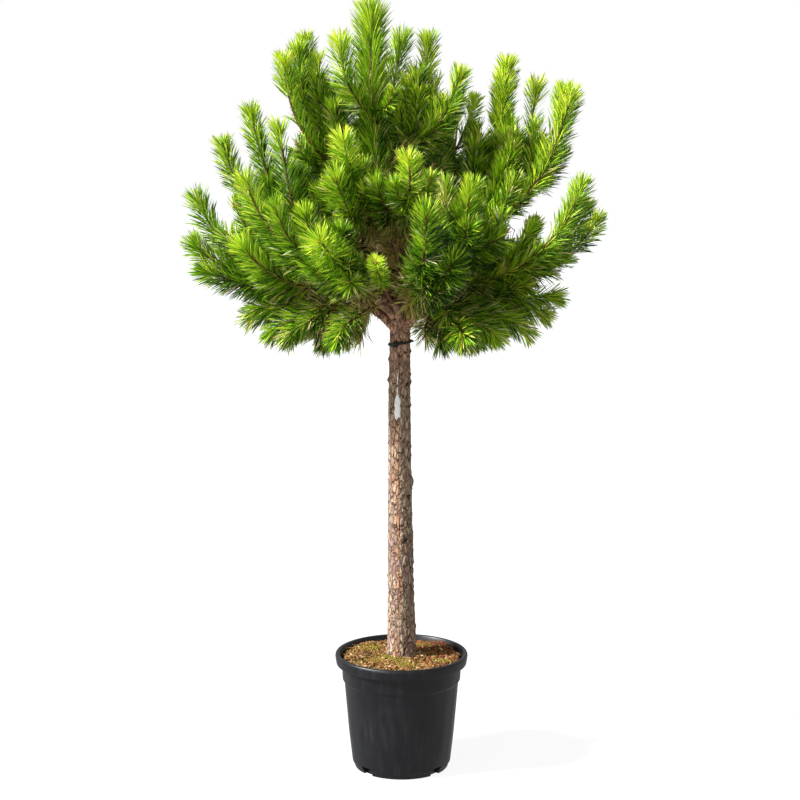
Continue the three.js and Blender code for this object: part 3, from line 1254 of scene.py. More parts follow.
@dataclass
class Trunk:
    """The stem from the soil to the tip of its leader, with plates of bark in relief.

    Each stub is its bearing, height, size and rise; each point of the wander is its X, Y and height.
    """

    soil_level: float = 340.0
    leader_top: float = 2240.0
    fork_height: float = 1340.0
    radius: float = 41.0
    fork_radius: float = 30.0
    flare_swell: float = 4.0
    flare_height: float = 60.0
    leader_foot: float = 1400.0
    leader_radius: float = 18.0
    tip_radius: float = 3.0
    leader_power: float = 1.4
    sides: int = 120
    stem_step: float = 2.1
    leader_step: float = 4.0
    plate_columns: int = 19
    plate_height: float = 22.0
    relief: float = 2.8
    root_lobes: float = 2.4
    unevenness: float = 1.2
    warm_bearing: float = 254.0
    warm_span: float = 0.3
    random_knobs: int = 34
    stubs: tuple[tuple[float, float, float, float], ...] = (
        (0, 1279, 5.5, 3.6), (2, 1209, 5.5, 3.6), (358, 1187, 8, 4.2), (0, 884, 15, 7.5), (3, 636, 6, 3.6),
        (357, 437, 6, 3.8), (180, 1255, 6, 3.8), (178, 1194, 7, 4.2), (182, 593, 6, 3.6), (176, 1002, 5, 3.0),
    )
    wander: tuple[tuple[float, float, float], ...] = (
        (0, 0, 340), (-3, 2, 700), (-6, -2, 1150), (-4, 0, 1365), (-7, 4, 1560),
        (-40, 8, 1645), (-68, 12, 1730), (-80, 16, 1870), (-88, 20, 2020), (-90, 20, 2240),
    )
    seed: int = 7

    def middle(self, height: float | Points) -> Points:
        """The stem's middle, a smooth curve through the points that it wanders through.

        Args:
            height: heights in millimetres.

        Returns:
            Points in metres.
        """
        knots = np.array(self.wander, dtype=float)
        slopes = np.gradient(knots[:, :2], knots[:, 2], axis=0)
        height = np.asarray(height, dtype=float)
        index = np.clip(np.searchsorted(knots[:, 2], height) - 1, 0, len(knots) - 2)
        low, high = knots[index], knots[index + 1]
        span = high[..., 2:] - low[..., 2:]
        t = (height[..., None] - low[..., 2:]) / span
        across = (
            (2 * t**3 - 3 * t**2 + 1) * low[..., :2]
            + (t**3 - 2 * t**2 + t) * span * slopes[index]
            + (3 * t**2 - 2 * t**3) * high[..., :2]
            + (t**3 - t**2) * span * slopes[index + 1]
        )
        return np.concatenate([across, height[..., None]], axis=-1) * MM

    def radius_at(self, height: float | Points) -> Points:
        """The stem's mean radius.

        Args:
            height: heights in millimetres.

        Returns:
            Radii in millimetres.
        """
        height = np.asarray(height, dtype=float)
        taper = (height - self.soil_level) / (self.fork_height - self.soil_level)
        flare = self.flare_swell * np.exp((self.soil_level - height) / self.flare_height)
        stem = self.radius + (self.fork_radius - self.radius) * taper + flare
        left = np.clip((self.leader_top - height) / (self.leader_top - self.leader_foot), 0, 1)
        leader = self.tip_radius + (self.leader_radius - self.tip_radius) * left**self.leader_power
        share = eased(height, self.fork_height, self.leader_foot + 20)
        return stem + (leader - stem) * share

    def surface(self, bearing: Points, height: Points) -> tuple[Points, Points, Points]:
        """The bark's relief: plates with finer flakes on them, pits, root lobes, swellings and stubs.

        Args:
            bearing: angles round the stem, in radians.
            height: heights in millimetres.

        Returns:
            The surface's radius in millimetres, how far each place is from a joint between plates, 0 to 1,
            and its plate's tone.
        """
        mean = self.radius_at(height)
        place = outwards(bearing) * 1.6 + np.stack([np.zeros_like(height)] * 2 + [height / 34], axis=-1)
        warp = Grain.layers(place * 1.3, self.seed)
        sway = Grain.layers(place * 1.3 + 31.7, self.seed + 5)
        count = self.plate_columns
        around = np.mod(bearing / (2 * math.pi), 1) * count
        along = height / self.plate_height
        joint, tone, climb = Grain.plates(around + 0.5 * warp, along + 0.55 * sway, count, self.seed)
        finer = (2 * around + 0.6 * sway, 2.4 * along + 0.6 * warp)
        flake, flake_tone, _ = Grain.plates(*finer, 2 * count, self.seed + 11)

        youth = eased(height, self.fork_height - 620, self.fork_height + 40)
        opened = eased(Grain.clouds(place * np.array([0.8, 0.8, 0.4]) + 7, self.seed + 30), -0.5, 0.3)
        plate = 1 - (0.25 + 0.75 * opened * (1 - 0.5 * youth)) * (1 - eased(joint, 0.02, 0.17))
        small = 1 - (0.3 + 0.5 * youth) * (1 - eased(flake, 0.02, 0.15))
        pits = eased(Grain.clouds(place * np.array([5, 5, 3.2]), self.seed + 40), 0.5, 0.78)
        depth = self.relief * (1 - 0.45 * youth) * np.clip(mean / self.fork_radius, 0.12, 1)
        lift = plate * (0.62 + 0.6 * (tone - 0.5) + 0.4 * climb) + 0.3 * small * (0.5 + flake_tone) - 0.62

        lobes = self.root_lobes * np.exp((self.soil_level - height) / 60) * np.cos(3 * bearing + 0.7)
        clouds = Grain.clouds(place * 0.35, self.seed + 20)
        swell = self.unevenness * clouds * np.clip(mean / self.radius, 0, 1)
        knob, dark = self.knobs(bearing, height)
        radius = mean + depth * (lift - 0.5 * pits) + lobes + swell + knob
        shown = plate * (0.5 + 0.5 * small) * (1 - 0.8 * pits) * (1 - dark)
        return radius, shown, np.clip(0.6 * tone + 0.4 * flake_tone, 0, 1)

    def warmth(self, bearing: Points, height: Points) -> Points:
        """How orange the bark is: most in a band down the front and in scattered patches.

        Args:
            bearing: angles round the stem, in radians.
            height: heights in millimetres.

        Returns:
            One number a place, 0 to 1.
        """
        turn = turned_from(bearing, self.warm_bearing) / self.warm_span
        band = np.exp(-(turn**2)) * (1 - eased(height, 1020, 1180))
        ring = np.stack([np.cos(bearing), np.sin(bearing), height / 90], axis=-1)
        return np.clip(0.75 * band + 0.7 * Grain.layers(ring * 1.4, self.seed + 50) + 0.15, 0, 1)

    def knobs(self, bearing: Points, height: Points) -> tuple[Points, Points]:
        """Stubs of small shoots that were rubbed off.

        Args:
            bearing: angles round the stem, in radians.
            height: heights in millimetres.

        Returns:
            How proud each place is in millimetres, and how dark it is from 0 to 1.
        """
        draw = np.random.default_rng(self.seed)
        proud = np.zeros(np.broadcast(bearing, height).shape)
        dark = np.zeros(proud.shape)
        ranges = ((0, 360), (self.soil_level + 40, self.fork_height - 30), (4, 6), (2, 3.4))
        chance = [tuple(draw.uniform(*ends) for ends in ranges) for _ in range(self.random_knobs)]
        for where, level, size, rise in (*self.stubs, *chance):
            turn = turned_from(bearing, where)
            away = ((turn * self.radius) ** 2 + (height - level) ** 2) / size**2
            proud += rise * np.exp(-away)
            dark = np.maximum(dark, 0.85 * np.exp(-away * 0.7))
        return proud, dark

    def build(self) -> None:
        """Makes the stem and gives it its finish."""
        stem = np.arange(self.soil_level, self.leader_foot, self.stem_step)
        leader = np.arange(self.leader_foot, self.leader_top, self.leader_step)
        heights = np.concatenate([stem, leader, [self.leader_top]])
        turn, height = np.meshgrid(whole_turn(self.sides), heights)
        radius, joint, tone = self.surface(turn, height)
        points = (self.middle(heights)[:, None] + outwards(turn) * radius[..., None] * MM).reshape(-1, 3)
        poles = self.middle(np.array([self.soil_level, self.leader_top + 2]))
        mesh = make_mesh("trunk_bark", np.vstack([points, poles]), shell_faces(len(heights), self.sides))
        marks = (("joint", joint, 1.0), ("tone", tone, 0.5), ("warmth", self.warmth(turn, height), 0.3))
        for label, values, at_pole in marks:
            set_attribute(mesh, label, "FLOAT", np.append(values.ravel(), [at_pole, at_pole]))
        finish_piece(make_piece(mesh, BarkFinish("bark_trunk")), "bark", "trunk")


# ---- soil


@dataclass
class SoilBed:
    """The soil with its mulch: heaped at the trunk, uneven, with chips of bark, moss and fallen needles.

    Each hump is X, Y, rise and reach; each patch of moss is X, Y and its two half widths.
    """

    pot: Pot
    trunk: Trunk
    heap_level: float = 349.0
    heap_radius: float = 92.0
    heap_foot: float = 341.5
    edge_level: float = 338.5
    unevenness: float = 4.0
    rings: int = 56
    columns: int = 168
    humps: tuple[tuple[float, float, float, float], ...] = ((-100, 105, 9, 46), (118, 92, 11, 44))
    chips: int = 3000
    tufts: int = 1400
    fallen: int = 190
    moss: tuple[tuple[float, float, float, float], ...] = (
        (-16, -58, 30, 18), (122, -52, 26, 18), (-88, 70, 44, 34), (10, -100, 30, 16), (-60, -40, 60, 40),
        (60, 110, 26, 18),
    )
    seed: int = 70

    def level(self, place: Points) -> Points:
        """The height of the surface.

        Args:
            place: points as X and Y in millimetres.

        Returns:
            Their heights in millimetres.
        """
        radius = np.hypot(place[..., 0], place[..., 1])
        edge = self.pot.inner_radius(self.edge_level)
        levels = [self.heap_level, self.heap_foot, self.edge_level]
        base = np.interp(radius, [50, self.heap_radius, edge], levels)
        spot = np.concatenate([place / 24, np.zeros_like(place[..., :1])], axis=-1)
        for x, y, rise, reach in self.humps:
            base = base + rise * np.exp(-((place[..., 0] - x) ** 2 + (place[..., 1] - y) ** 2) / reach**2)
        return base + self.unevenness * Grain.layers(spot, self.seed)

    def build_bed(self) -> None:
        """Makes the closed solid of the soil."""
        pot = self.pot
        bottom = pot.floor + 1.5
        heights = [bottom + 8, pot.middle_height, pot.shoulder_foot - 6, pot.shoulder_foot + 2, pot.lip_foot]
        wall = [(pot.inner_radius(height) - 1, height) for height in heights]
        wall.insert(0, (pot.inner_radius(bottom) - 9, bottom))
        turn = whole_turn(self.columns)
        ring = np.stack([np.cos(turn), np.sin(turn)], axis=-1)
        rows = [np.column_stack([ring * radius, np.full(self.columns, height)]) for radius, height in wall]
        for radius in np.linspace(pot.inner_radius(self.edge_level) - 1, 4, self.rings):
            rows.append(np.column_stack([ring * radius, self.level(ring * radius)]))
        poles = [[0, 0, bottom], [0, 0, float(self.level(np.zeros(2)))]]
        mesh = make_mesh("soil_bed", np.vstack([*rows, poles]) * MM, shell_faces(len(rows), self.columns))
        finish_piece(make_piece(mesh, SoilFinish()), "soil", "soil")

    def spots(self, draw: Chance, count: int) -> Points:
        """Places spread evenly over the soil, clear of the trunk and the pot.

        Args:
            draw: the source of chance.
            count: how many.

        Returns:
            X and Y of each in millimetres.
        """
        inner = self.trunk.radius_at(self.heap_level) - 2
        outer = self.pot.inner_radius(self.edge_level) - 5
        radius = np.sqrt(draw.uniform(inner**2, outer**2, count))
        turn = draw.uniform(0, 2 * math.pi, count)
        return np.stack([radius * np.cos(turn), radius * np.sin(turn)], axis=-1)

    def laid(
        self, draw: Chance, place: Points, tilt: float, girth: Points, reach: Points,
        lift: float, shade: Points,
    ) -> Sown:
        """Small things that lie on the surface.

        Args:
            draw: the source of chance.
            place: where they lie, as X and Y in millimetres.
            tilt: how far they tilt, in degrees.
            girth: their widths in millimetres.
            reach: their heights in millimetres.
            lift: how far over the surface their feet are, in millimetres.
            shade: their shades' numbers.

        Returns:
            The copies.
        """
        count = len(place)
        start = np.column_stack([place, self.level(place) + lift]) * MM
        slant = np.radians(draw.normal(0, tilt, count))
        turn = draw.uniform(0, 2 * math.pi, count)
        aim = np.column_stack([np.sin(slant) * np.cos(turn), np.sin(slant) * np.sin(turn), np.cos(slant)])
        lean = unit(np.cross(aim, draw.normal(size=(count, 3))))
        return Sown(start, aim, lean, girth * MM, reach * MM, shade)

    @staticmethod
    def chip(seed: int, sides: int = 5) -> Soup:
        """A flake of bark with an uneven outline, 1 wide and 1 thick.

        Args:
            seed: picks its outline.
            sides: corners of the outline.

        Returns:
            The shape.
        """
        draw = np.random.default_rng(seed)
        turn = (np.arange(sides) + draw.uniform(-0.3, 0.3, sides)) * 2 * math.pi / sides
        radius = draw.uniform(0.3, 0.55, sides)
        slim = draw.uniform(0.3, 0.75)
        ring = np.stack([radius * np.cos(turn) * 1.1 / slim**0.5, radius * np.sin(turn) * slim], axis=-1)
        low = np.column_stack([ring, np.full(sides, -0.5)])
        high = np.column_stack([ring * draw.uniform(0.8, 0.95), 0.5 + draw.uniform(-0.15, 0.15, sides)])
        ends = [tuple(range(sides - 1, -1, -1)), tuple(range(sides, 2 * sides))]
        return Soup().add(np.vstack([low, high]), grid_faces(2, sides) + ends)

    @staticmethod
    def tuft(seed: int, sides: int = 5) -> Soup:
        """A tuft of moss: a rough little dome, 1 wide and 1 high.

        Args:
            seed: picks its heights.
            sides: corners of its outline.

        Returns:
            The shape.
        """
        draw = np.random.default_rng(seed)
        turn = whole_turn(sides)
        foot = np.column_stack([0.5 * np.cos(turn), 0.5 * np.sin(turn), np.full(sides, -0.3)])
        height = draw.uniform(0.4, 0.8, sides)
        ring = np.column_stack([0.42 * np.cos(turn + 0.6), 0.42 * np.sin(turn + 0.6), height])
        return Soup().add(np.vstack([foot, ring, [[0, 0, -0.3], [0, 0, 1.0]]]), shell_faces(2, sides))

    def build_mulch(self) -> None:
        """Lays the chips of bark, more of them red on the right and at the back."""
        draw = np.random.default_rng(self.seed + 1)
        place = self.spots(draw, self.chips)
        warm = eased(place[:, 0] + 0.6 * place[:, 1], 10, 150)
        chance = draw.uniform(0, 1, self.chips)
        shade = np.searchsorted([0.2, 0.4, 0.6, 0.65, 0.78, 0.84], chance)
        shade = np.where(draw.uniform(0, 1, self.chips) < 0.5 * warm, ChipShade.RED.number, shade)
        girth = draw.gamma(4.0, 1.0, self.chips).clip(1.6, 9) * 2.6
        thick = draw.uniform(1.4, 3.2, self.chips)
        sown = self.laid(draw, place, 27, girth, thick, 1.2, shade)
        strew("soil_chips", "soil", [self.chip(self.seed + index) for index in range(6)], ChipShade, sown, 3)

    def build_moss(self) -> None:
        """Lays the patches of moss."""
        draw = np.random.default_rng(self.seed + 2)
        patch = np.array(self.moss)[draw.integers(0, len(self.moss), self.tufts)]
        spread = draw.normal(0, 0.45, (self.tufts, 2)).clip(-1.2, 1.2)
        place = patch[:, :2] + patch[:, 2:] * spread
        shade = np.searchsorted([0.5, 0.78], draw.uniform(0, 1, self.tufts))
        girth = draw.uniform(3.5, 7, self.tufts)
        sown = self.laid(draw, place, 25, girth, draw.uniform(2.5, 5.5, self.tufts), 0.8, shade)
        strew("soil_moss", "soil", [self.tuft(self.seed + index) for index in range(4)], MossShade, sown, 4)

    def build_fallen(self) -> None:
        """Lays the fallen needles, each on its side."""
        draw = np.random.default_rng(self.seed + 3)
        place = self.spots(draw, self.fallen) * 0.94
        shade = np.full(self.fallen, MossShade.FALLEN.number)
        girth, reach = draw.uniform(1.3, 1.8, self.fallen), draw.uniform(30, 56, self.fallen)
        sown = self.laid(draw, place, 7, girth, reach, 4.0, shade)
        sown.aim, sown.lean = unit(sown.lean * np.array([1, 1, 0.25])), sown.aim
        strew("soil_needles", "soil", [Soup().add(*Foliage.sliver(UP, 0.4))], MossShade, sown, 5)

    def build(self) -> None:
        """Makes the soil and all that lies on it."""
        self.build_bed()
        self.build_mulch()
        self.build_moss()
        self.build_fallen()


# ---- trim on the trunk


@dataclass
class Tie:
    """The dark tying tube round the trunk below the fork, with its knot."""

    trunk: Trunk
    height: float = 1304.0
    cord: float = 3.7
    slope: float = -8.0
    sunk: float = 2.2
    wave: float = 0.8
    knot_bearing: float = 243.0
    knot_size: float = 6.5
    knot_turns: float = 1.3
    bead_bearing: float = 352.0
    steps: int = 96
    sides: int = 12

    def place(self, bearing: Points, out: Points, up: Points) -> Points:
        """Points round the trunk, in metres.

        Args:
            bearing: their bearings in radians.
            out: how far out from the bark, in millimetres.
            up: how far over the tie's sloping middle, in millimetres.

        Returns:
            The points.
        """
        slant = math.tan(math.radians(self.slope))
        reach = self.trunk.radius_at(self.height) + 1 + out
        height = self.height + up - slant * reach * np.cos(bearing)
        return self.trunk.middle(height) + outwards(bearing) * reach[..., None] * MM

    def loop(self) -> tuple[Points, list[Face]]:
        """The ring of tube, closed on itself both ways.

        Returns:
            Its points and its faces.
        """
        turn, round_cord = np.meshgrid(whole_turn(self.steps), whole_turn(self.sides), indexing="ij")
        out = self.cord * (1 + np.cos(round_cord)) - self.sunk
        up = self.cord * np.sin(round_cord) + self.wave * np.sin(3 * turn + 0.6)
        index = np.arange(turn.size).reshape(turn.shape)
        ahead, above = np.roll(index, -1, axis=0), np.roll(index, -1, axis=1)
        faces = np.stack([index, ahead, np.roll(ahead, -1, axis=1), above], axis=-1).reshape(-1, 4)
        return self.place(turn, out, up).reshape(-1, 3), [tuple(face) for face in faces.tolist()]

    def knot(self) -> list[Points]:
        """The paths of the knot's turn, of its bar and of the bead at the trunk's right edge.

        Returns:
            Three paths.
        """
        where = math.radians(self.knot_bearing)
        turn = np.linspace(0, self.knot_turns * 2 * math.pi, 26)
        coil = self.place(
            where + self.knot_size * np.cos(turn) / 34 + 0.02 * turn,
            self.cord * 1.5 + 1.2 * np.sin(0.5 * turn),
            self.knot_size * np.sin(turn),
        )
        across = np.linspace(-1, 1, 14)
        bar = self.place(where + 0.24 * across, self.cord * 2.2 + 2.4 * (1 - across**2), 3.5 * across)
        along_bead = math.radians(self.bead_bearing) + 0.1 * np.linspace(-1, 1, 8)
        bead = self.place(along_bead, np.full(8, self.cord * 1.7), np.zeros(8))
        return [coil, bar, bead]

    def build(self) -> None:
        """Makes the tie."""
        soup = Soup().add(*self.loop())
        for path in self.knot():
            share = np.linspace(0, 1, len(path))
            soup.add(*tube(path, self.cord * MM * 0.86 * np.clip(np.sin(math.pi * share) * 6, 0.25, 1), 10))
        finish_piece(make_piece(soup.mesh("trunk_tie_tube"), TieFinish()), "tie", "trunk_tie")


@dataclass
class ResinStreak:
    """Dried resin that ran down the bark: a blotch with a ragged end under a thin broken trace."""

    trunk: Trunk
    bearing: float = 259.0
    bottom: float = 1068.0
    top: float = 1226.0
    half_width: float = 17.0
    blotch_top: float = 1146.0
    thickness: float = 1.9
    sunk: float = 6.0
    rows: int = 132
    columns: int = 30
    seed: int = 90

    def cover(self, across: Points, height: Points) -> Points:
        """How thick the resin is.

        Args:
            across: distance from the streak's middle, in millimetres.
            height: height in millimetres.

        Returns:
            Its thickness in millimetres, below 0 where there is none.
        """
        spot = np.stack([across / 5, height / 11, np.zeros_like(across)], axis=-1)
        ragged = Grain.layers(spot, self.seed)
        blotch = 1 - eased(height, self.blotch_top - 22, self.blotch_top + 16)
        lobes = self.bottom + 6 + 10 * np.abs(np.sin((across + 3) / 4.6))
        width = 2.0 + 6.8 * blotch + 2.6 * ragged
        trace = np.where(height > self.blotch_top + 30, 1.4 * np.sin(height / 6.5 + 2 * ragged) + 0.5, 1.4)
        ends = np.minimum(height - lobes, (self.top - 8 - height)) / 4
        edge = np.minimum(np.minimum(width - np.abs(across), trace + blotch), ends)
        return self.thickness * edge.clip(-2, 1)

    def build(self) -> None:
        """Makes the streak: its front stands on the bark where there is resin, its back is in the wood."""
        sides = np.linspace(-self.half_width, self.half_width, self.columns)
        height, across = np.meshgrid(np.linspace(self.bottom, self.top, self.rows), sides, indexing="ij")
        bearing = math.radians(self.bearing) + across / self.trunk.radius_at(height)
        bark = self.trunk.surface(bearing, height)[0]
        ring, middle = outwards(bearing), self.trunk.middle(height)
        front = middle + ring * (bark + self.cover(across, height))[..., None] * MM
        back = middle + ring * (bark - self.sunk)[..., None] * MM
        points = np.concatenate([front, back[:, ::-1]], axis=1).reshape(-1, 3)
        columns = 2 * self.columns
        faces = grid_faces(self.rows, columns)
        last = (self.rows - 1) * columns
        for near in range(self.columns - 1):
            far = columns - 1 - near
            faces.append((near + 1, near, far, far - 1))
            faces.append((last + near, last + near + 1, last + far - 1, last + far))
        piece = make_piece(make_mesh("resin_run", points, faces), ResinFinish())
        finish_piece(piece, "resin", "resin_streak")


# ---- boughs and shoots


@dataclass(frozen=True)
class Limb:
    """One main bough and the leading shoots of the mass of needles that it carries."""

    name: str
    start: float
    end: tuple[float, float, float]
    plume: float
    tips: tuple[tuple[float, float, float, float], ...]
    bend: tuple[float, float] = (0.82, 0.17)
    bare: float = 10.0

    @property
    def root_radius(self) -> float:
        """The bough's radius where it leaves the trunk, in millimetres."""
        furthest = max(tip[1] for tip in self.tips)
        return 5.0 + 1.7 * len(self.tips) + 0.009 * furthest


# Each limb: its name, the height where it leaves the trunk, its end as bearing, reach and height, the radius
# of its plumes, and each plume's tip as bearing, reach, height and flush: 1 is new growth, 0 dark and old.
# Painted light: on right_crest and right_high, which lie in the leader's shade, the flush is set higher so
# that they look lit.
LIMBS = (
    Limb("left_skirt", 1330, (198, 150, 1430), 58, (
        (186, 484, 1380, 0.5), (202, 432, 1324, 0.45), (214, 406, 1314, 0.4))),
    Limb("left_low", 1368, (184, 210, 1462), 55, (
        (174, 626, 1758, 0.7), (185, 628, 1636, 0.7), (203, 511, 1640, 0.85), (189, 612, 1544, 0.6))),
    Limb("left_middle", 1392, (192, 190, 1500), 49, (
        (177, 440, 2020, 0.7), (208, 398, 1975, 0.7), (193, 526, 1930, 0.75), (187, 502, 1756, 0.7))),
    Limb("left_front", 1420, (218, 190, 1510), 48, (
        (207, 504, 1831, 0.9), (220, 466, 1756, 0.7), (236, 481, 1738, 0.7))),
    Limb("left_high", 1640, (160, 170, 1800), 45, (
        (183, 353, 2166, 0.75), (154, 327, 2230, 0.7), (166, 255, 2172, 0.65), (169, 320, 2200, 0.7))),
    Limb("front_left", 1398, (240, 190, 1455), 56, (
        (244, 534, 1668, 1.0), (247, 433, 1594, 0.5), (231, 430, 1580, 0.5)), bend=(0.62, 0.38)),
    Limb("front_skirt", 1350, (240, 150, 1435), 52, (
        (245, 440, 1321, 0.5), (232, 330, 1320, 0.4))),
    Limb("centre_left", 1552, (230, 120, 1670), 51, (
        (238, 305, 1948, 0.95), (240, 382, 1830, 0.8), (214, 290, 1800, 0.6))),
    Limb("front_high", 1590, (272, 130, 1665), 42, (
        (274, 351, 1894, 0.95), (256, 300, 1820, 0.6))),
    Limb("front_middle", 1384, (280, 180, 1465), 62, (
        (278, 525, 1740, 0.66), (288, 480, 1610, 0.4)), bend=(0.74, 0.25)),
    Limb("front_small", 1368, (262, 190, 1440), 29, (
        (261, 480, 1600, 0.9),), bend=(0.62, 0.38), bare=165.0),
    Limb("right_crest", 1760, (30, 50, 1900), 49, (
        (38, 98, 2228, 0.8), (0, 126, 2038, 0.85), (60, 30, 2105, 0.75), (342, 184, 2122, 0.75))),
    Limb("right_high", 1690, (20, 110, 1800), 38, (
        (43, 300, 2062, 0.75), (62, 240, 2000, 0.6))),
    Limb("right_top", 1500, (12, 200, 1630), 51, (
        (21, 338, 2157, 0.65), (22, 336, 2116, 0.6), (24, 450, 2095, 0.6), (357, 502, 2068, 0.65),
        (2, 476, 2075, 0.6))),
    Limb("right_inner", 1470, (318, 140, 1560), 50, (
        (312, 308, 1810, 0.75), (294, 459, 1701, 0.5), (330, 370, 1690, 0.4), (346, 136, 1810, 0.5))),
    Limb("right_middle", 1378, (354, 200, 1478), 48, (
        (350, 540, 1812, 0.6), (2, 595, 1700, 0.6), (17, 431, 1684, 0.45), (355, 550, 1742, 0.55))),
    Limb("right_low", 1356, (3, 160, 1438), 56, (
        (353, 490, 1456, 0.5), (18, 380, 1474, 0.4), (358, 458, 1384, 0.4))),
    Limb("right_skirt", 1332, (318, 150, 1424), 60, (
        (337, 420, 1336, 0.4), (313, 400, 1326, 0.45), (294, 450, 1333, 0.45))),
    Limb("back_skirt", 1348, (105, 140, 1430), 54, (
        (126, 400, 1385, 0.4), (101, 430, 1440, 0.4), (76, 400, 1395, 0.4))),
    Limb("back_low_left", 1360, (138, 180, 1435), 50, (
        (155, 530, 1560, 0.6), (135, 570, 1650, 0.7), (145, 480, 1740, 0.6))),
    Limb("back_low", 1380, (92, 180, 1450), 50, (
        (103, 590, 1600, 0.6), (86, 600, 1690, 0.8), (94, 470, 1760, 0.6))),
    Limb("back_low_right", 1366, (48, 180, 1435), 50, (
        (58, 580, 1610, 0.6), (38, 550, 1670, 0.7), (48, 470, 1750, 0.6))),
    Limb("back_middle_left", 1455, (122, 180, 1590), 48, (
        (134, 460, 1900, 0.7), (115, 510, 1880, 0.8), (124, 360, 2000, 0.6))),
    Limb("back_middle_right", 1480, (60, 180, 1600), 48, (
        (70, 500, 1880, 0.8), (48, 450, 1920, 0.7), (60, 350, 2010, 0.6))),
    Limb("back_high", 1660, (94, 130, 1800), 46, (
        (104, 330, 2120, 0.7), (77, 370, 2080, 0.7), (91, 430, 2010, 0.8))),
)
LEADER_TIPS = ((206, 202, 2208, 0.7), (88, 130, 2230, 0.65), (264, 121, 2075, 0.5))
LEADER_REACHES = (1.12, 1.15, 0.6)
LEADER_FOOT = 1972
LEADER_PLUME = 50


@dataclass(frozen=True)
class Stretch:
    """A stretch of the trunk inside the crown that carries needles itself, low to high in millimetres."""

    low: float
    high: float
    points: int
    radii: tuple[float, float]
    flush: float
    age: float
    density: float
    reach: float
    leading: bool = False


LEADER_STRETCHES = (
    Stretch(1930, 2250, 36, (3.6, 3.0), 0.75, 0.0, 1.9, 1.4, leading=True),
    Stretch(1600, 1950, 30, (4.0, 4.0), 0.42, 0.2, 1.5, 1.25),
    Stretch(1390, 1620, 24, (4.0, 4.0), 0.1, 1.3, 2.2, 1.1),
)


@dataclass(frozen=True)
class Gap:
    """An opening in the crown: its sides and heights in the upright plane through the trunk, in millimetres.

    What grows further back than before, its Y, stays; so do some of the needles where share is under 1.
    """

    left: float
    right: float
    low: float
    high: float
    before: float = 2000.0
    share: float = 1.0


@dataclass
class Thinning:
    """Keeps openings free through the whole depth of the crown, as seen from the front at eye height."""

    eye: tuple[float, float, float] = (-4.5, -5300.0, 1930.0)
    softness: float = 9.0
    gaps: tuple[Gap, ...] = (
        # round the fork and under the crown
        Gap(-134, -100, 1262, 1312), Gap(30, 60, 1262, 1318), Gap(60, 88, 1262, 1302),
        Gap(88, 112, 1262, 1284), Gap(-292, -256, 1274, 1322), Gap(-106, -34, 1280, 1398),
        Gap(-60, 24, 1352, 1440, before=-15, share=0.85), Gap(24, 118, 1366, 1450, before=-15, share=0.49),
        # in the crown's heart and low at its sides
        Gap(-156, -100, 1405, 1476, before=-15, share=0.85),
        Gap(-112, 14, 1420, 1488, before=-15, share=0.5), Gap(412, 448, 1468, 1496),
        Gap(480, 530, 1480, 1540), Gap(-22, 14, 1488, 1640, before=-20, share=0.75),
        Gap(528, 570, 1500, 1580), Gap(414, 442, 1608, 1728), Gap(311, 368, 1612, 1686),
        Gap(-526, -500, 1626, 1694),
        # high at its sides and near its top
        Gap(363, 410, 1686, 1714), Gap(-532, -500, 1690, 1762), Gap(392, 450, 1700, 1748),
        Gap(182, 208, 1808, 1862, share=0.45), Gap(184, 202, 1855, 1890, share=0.6),
        Gap(150, 174, 1856, 1930), Gap(-342, -294, 1884, 1956), Gap(408, 436, 1912, 2034),
        Gap(226, 258, 1916, 1964), Gap(170, 190, 1920, 1990), Gap(340, 366, 1924, 2048),
        Gap(-372, -318, 1968, 2030), Gap(104, 146, 2044, 2110), Gap(26, 46, 2094, 2206),
        Gap(-236, -214, 2100, 2166),
    )

    def cover(self, points: Points) -> Points:
        """How far inside an opening points look from the front, 0 to 1.

        Args:
            points: the points in metres.

        Returns:
            One number a point.
        """
        eye = np.array(self.eye) * MM
        share = -eye[1] / (points[..., 1] - eye[1])
        across = (eye[0] + (points[..., 0] - eye[0]) * share) / MM
        height = (eye[2] + (points[..., 2] - eye[2]) * share) / MM
        inside = np.zeros(across.shape)
        for gap in self.gaps:
            sides = [across - gap.left, gap.right - across, height - gap.low, gap.high - height]
            margin = np.minimum.reduce(sides)
            near = points[..., 1] < gap.before * MM
            inside = np.maximum(inside, eased(margin, -0.5 * self.softness, self.softness) * near * gap.share)
        return inside


@dataclass
class Shoot:
    """A twig that carries needles: its path, how thick it is and what grows on it."""

    path: Points
    foot_radius: float
    tip_radius: float
    flush: float
    age: float = 0.0
    bare: float = 0.0
    density: float = 1.0
    reach: float = 1.0
    leading: bool = False

    @property
    def length(self) -> float:
        """The shoot's length in metres."""
        return float(lengths(self.path)[-1])


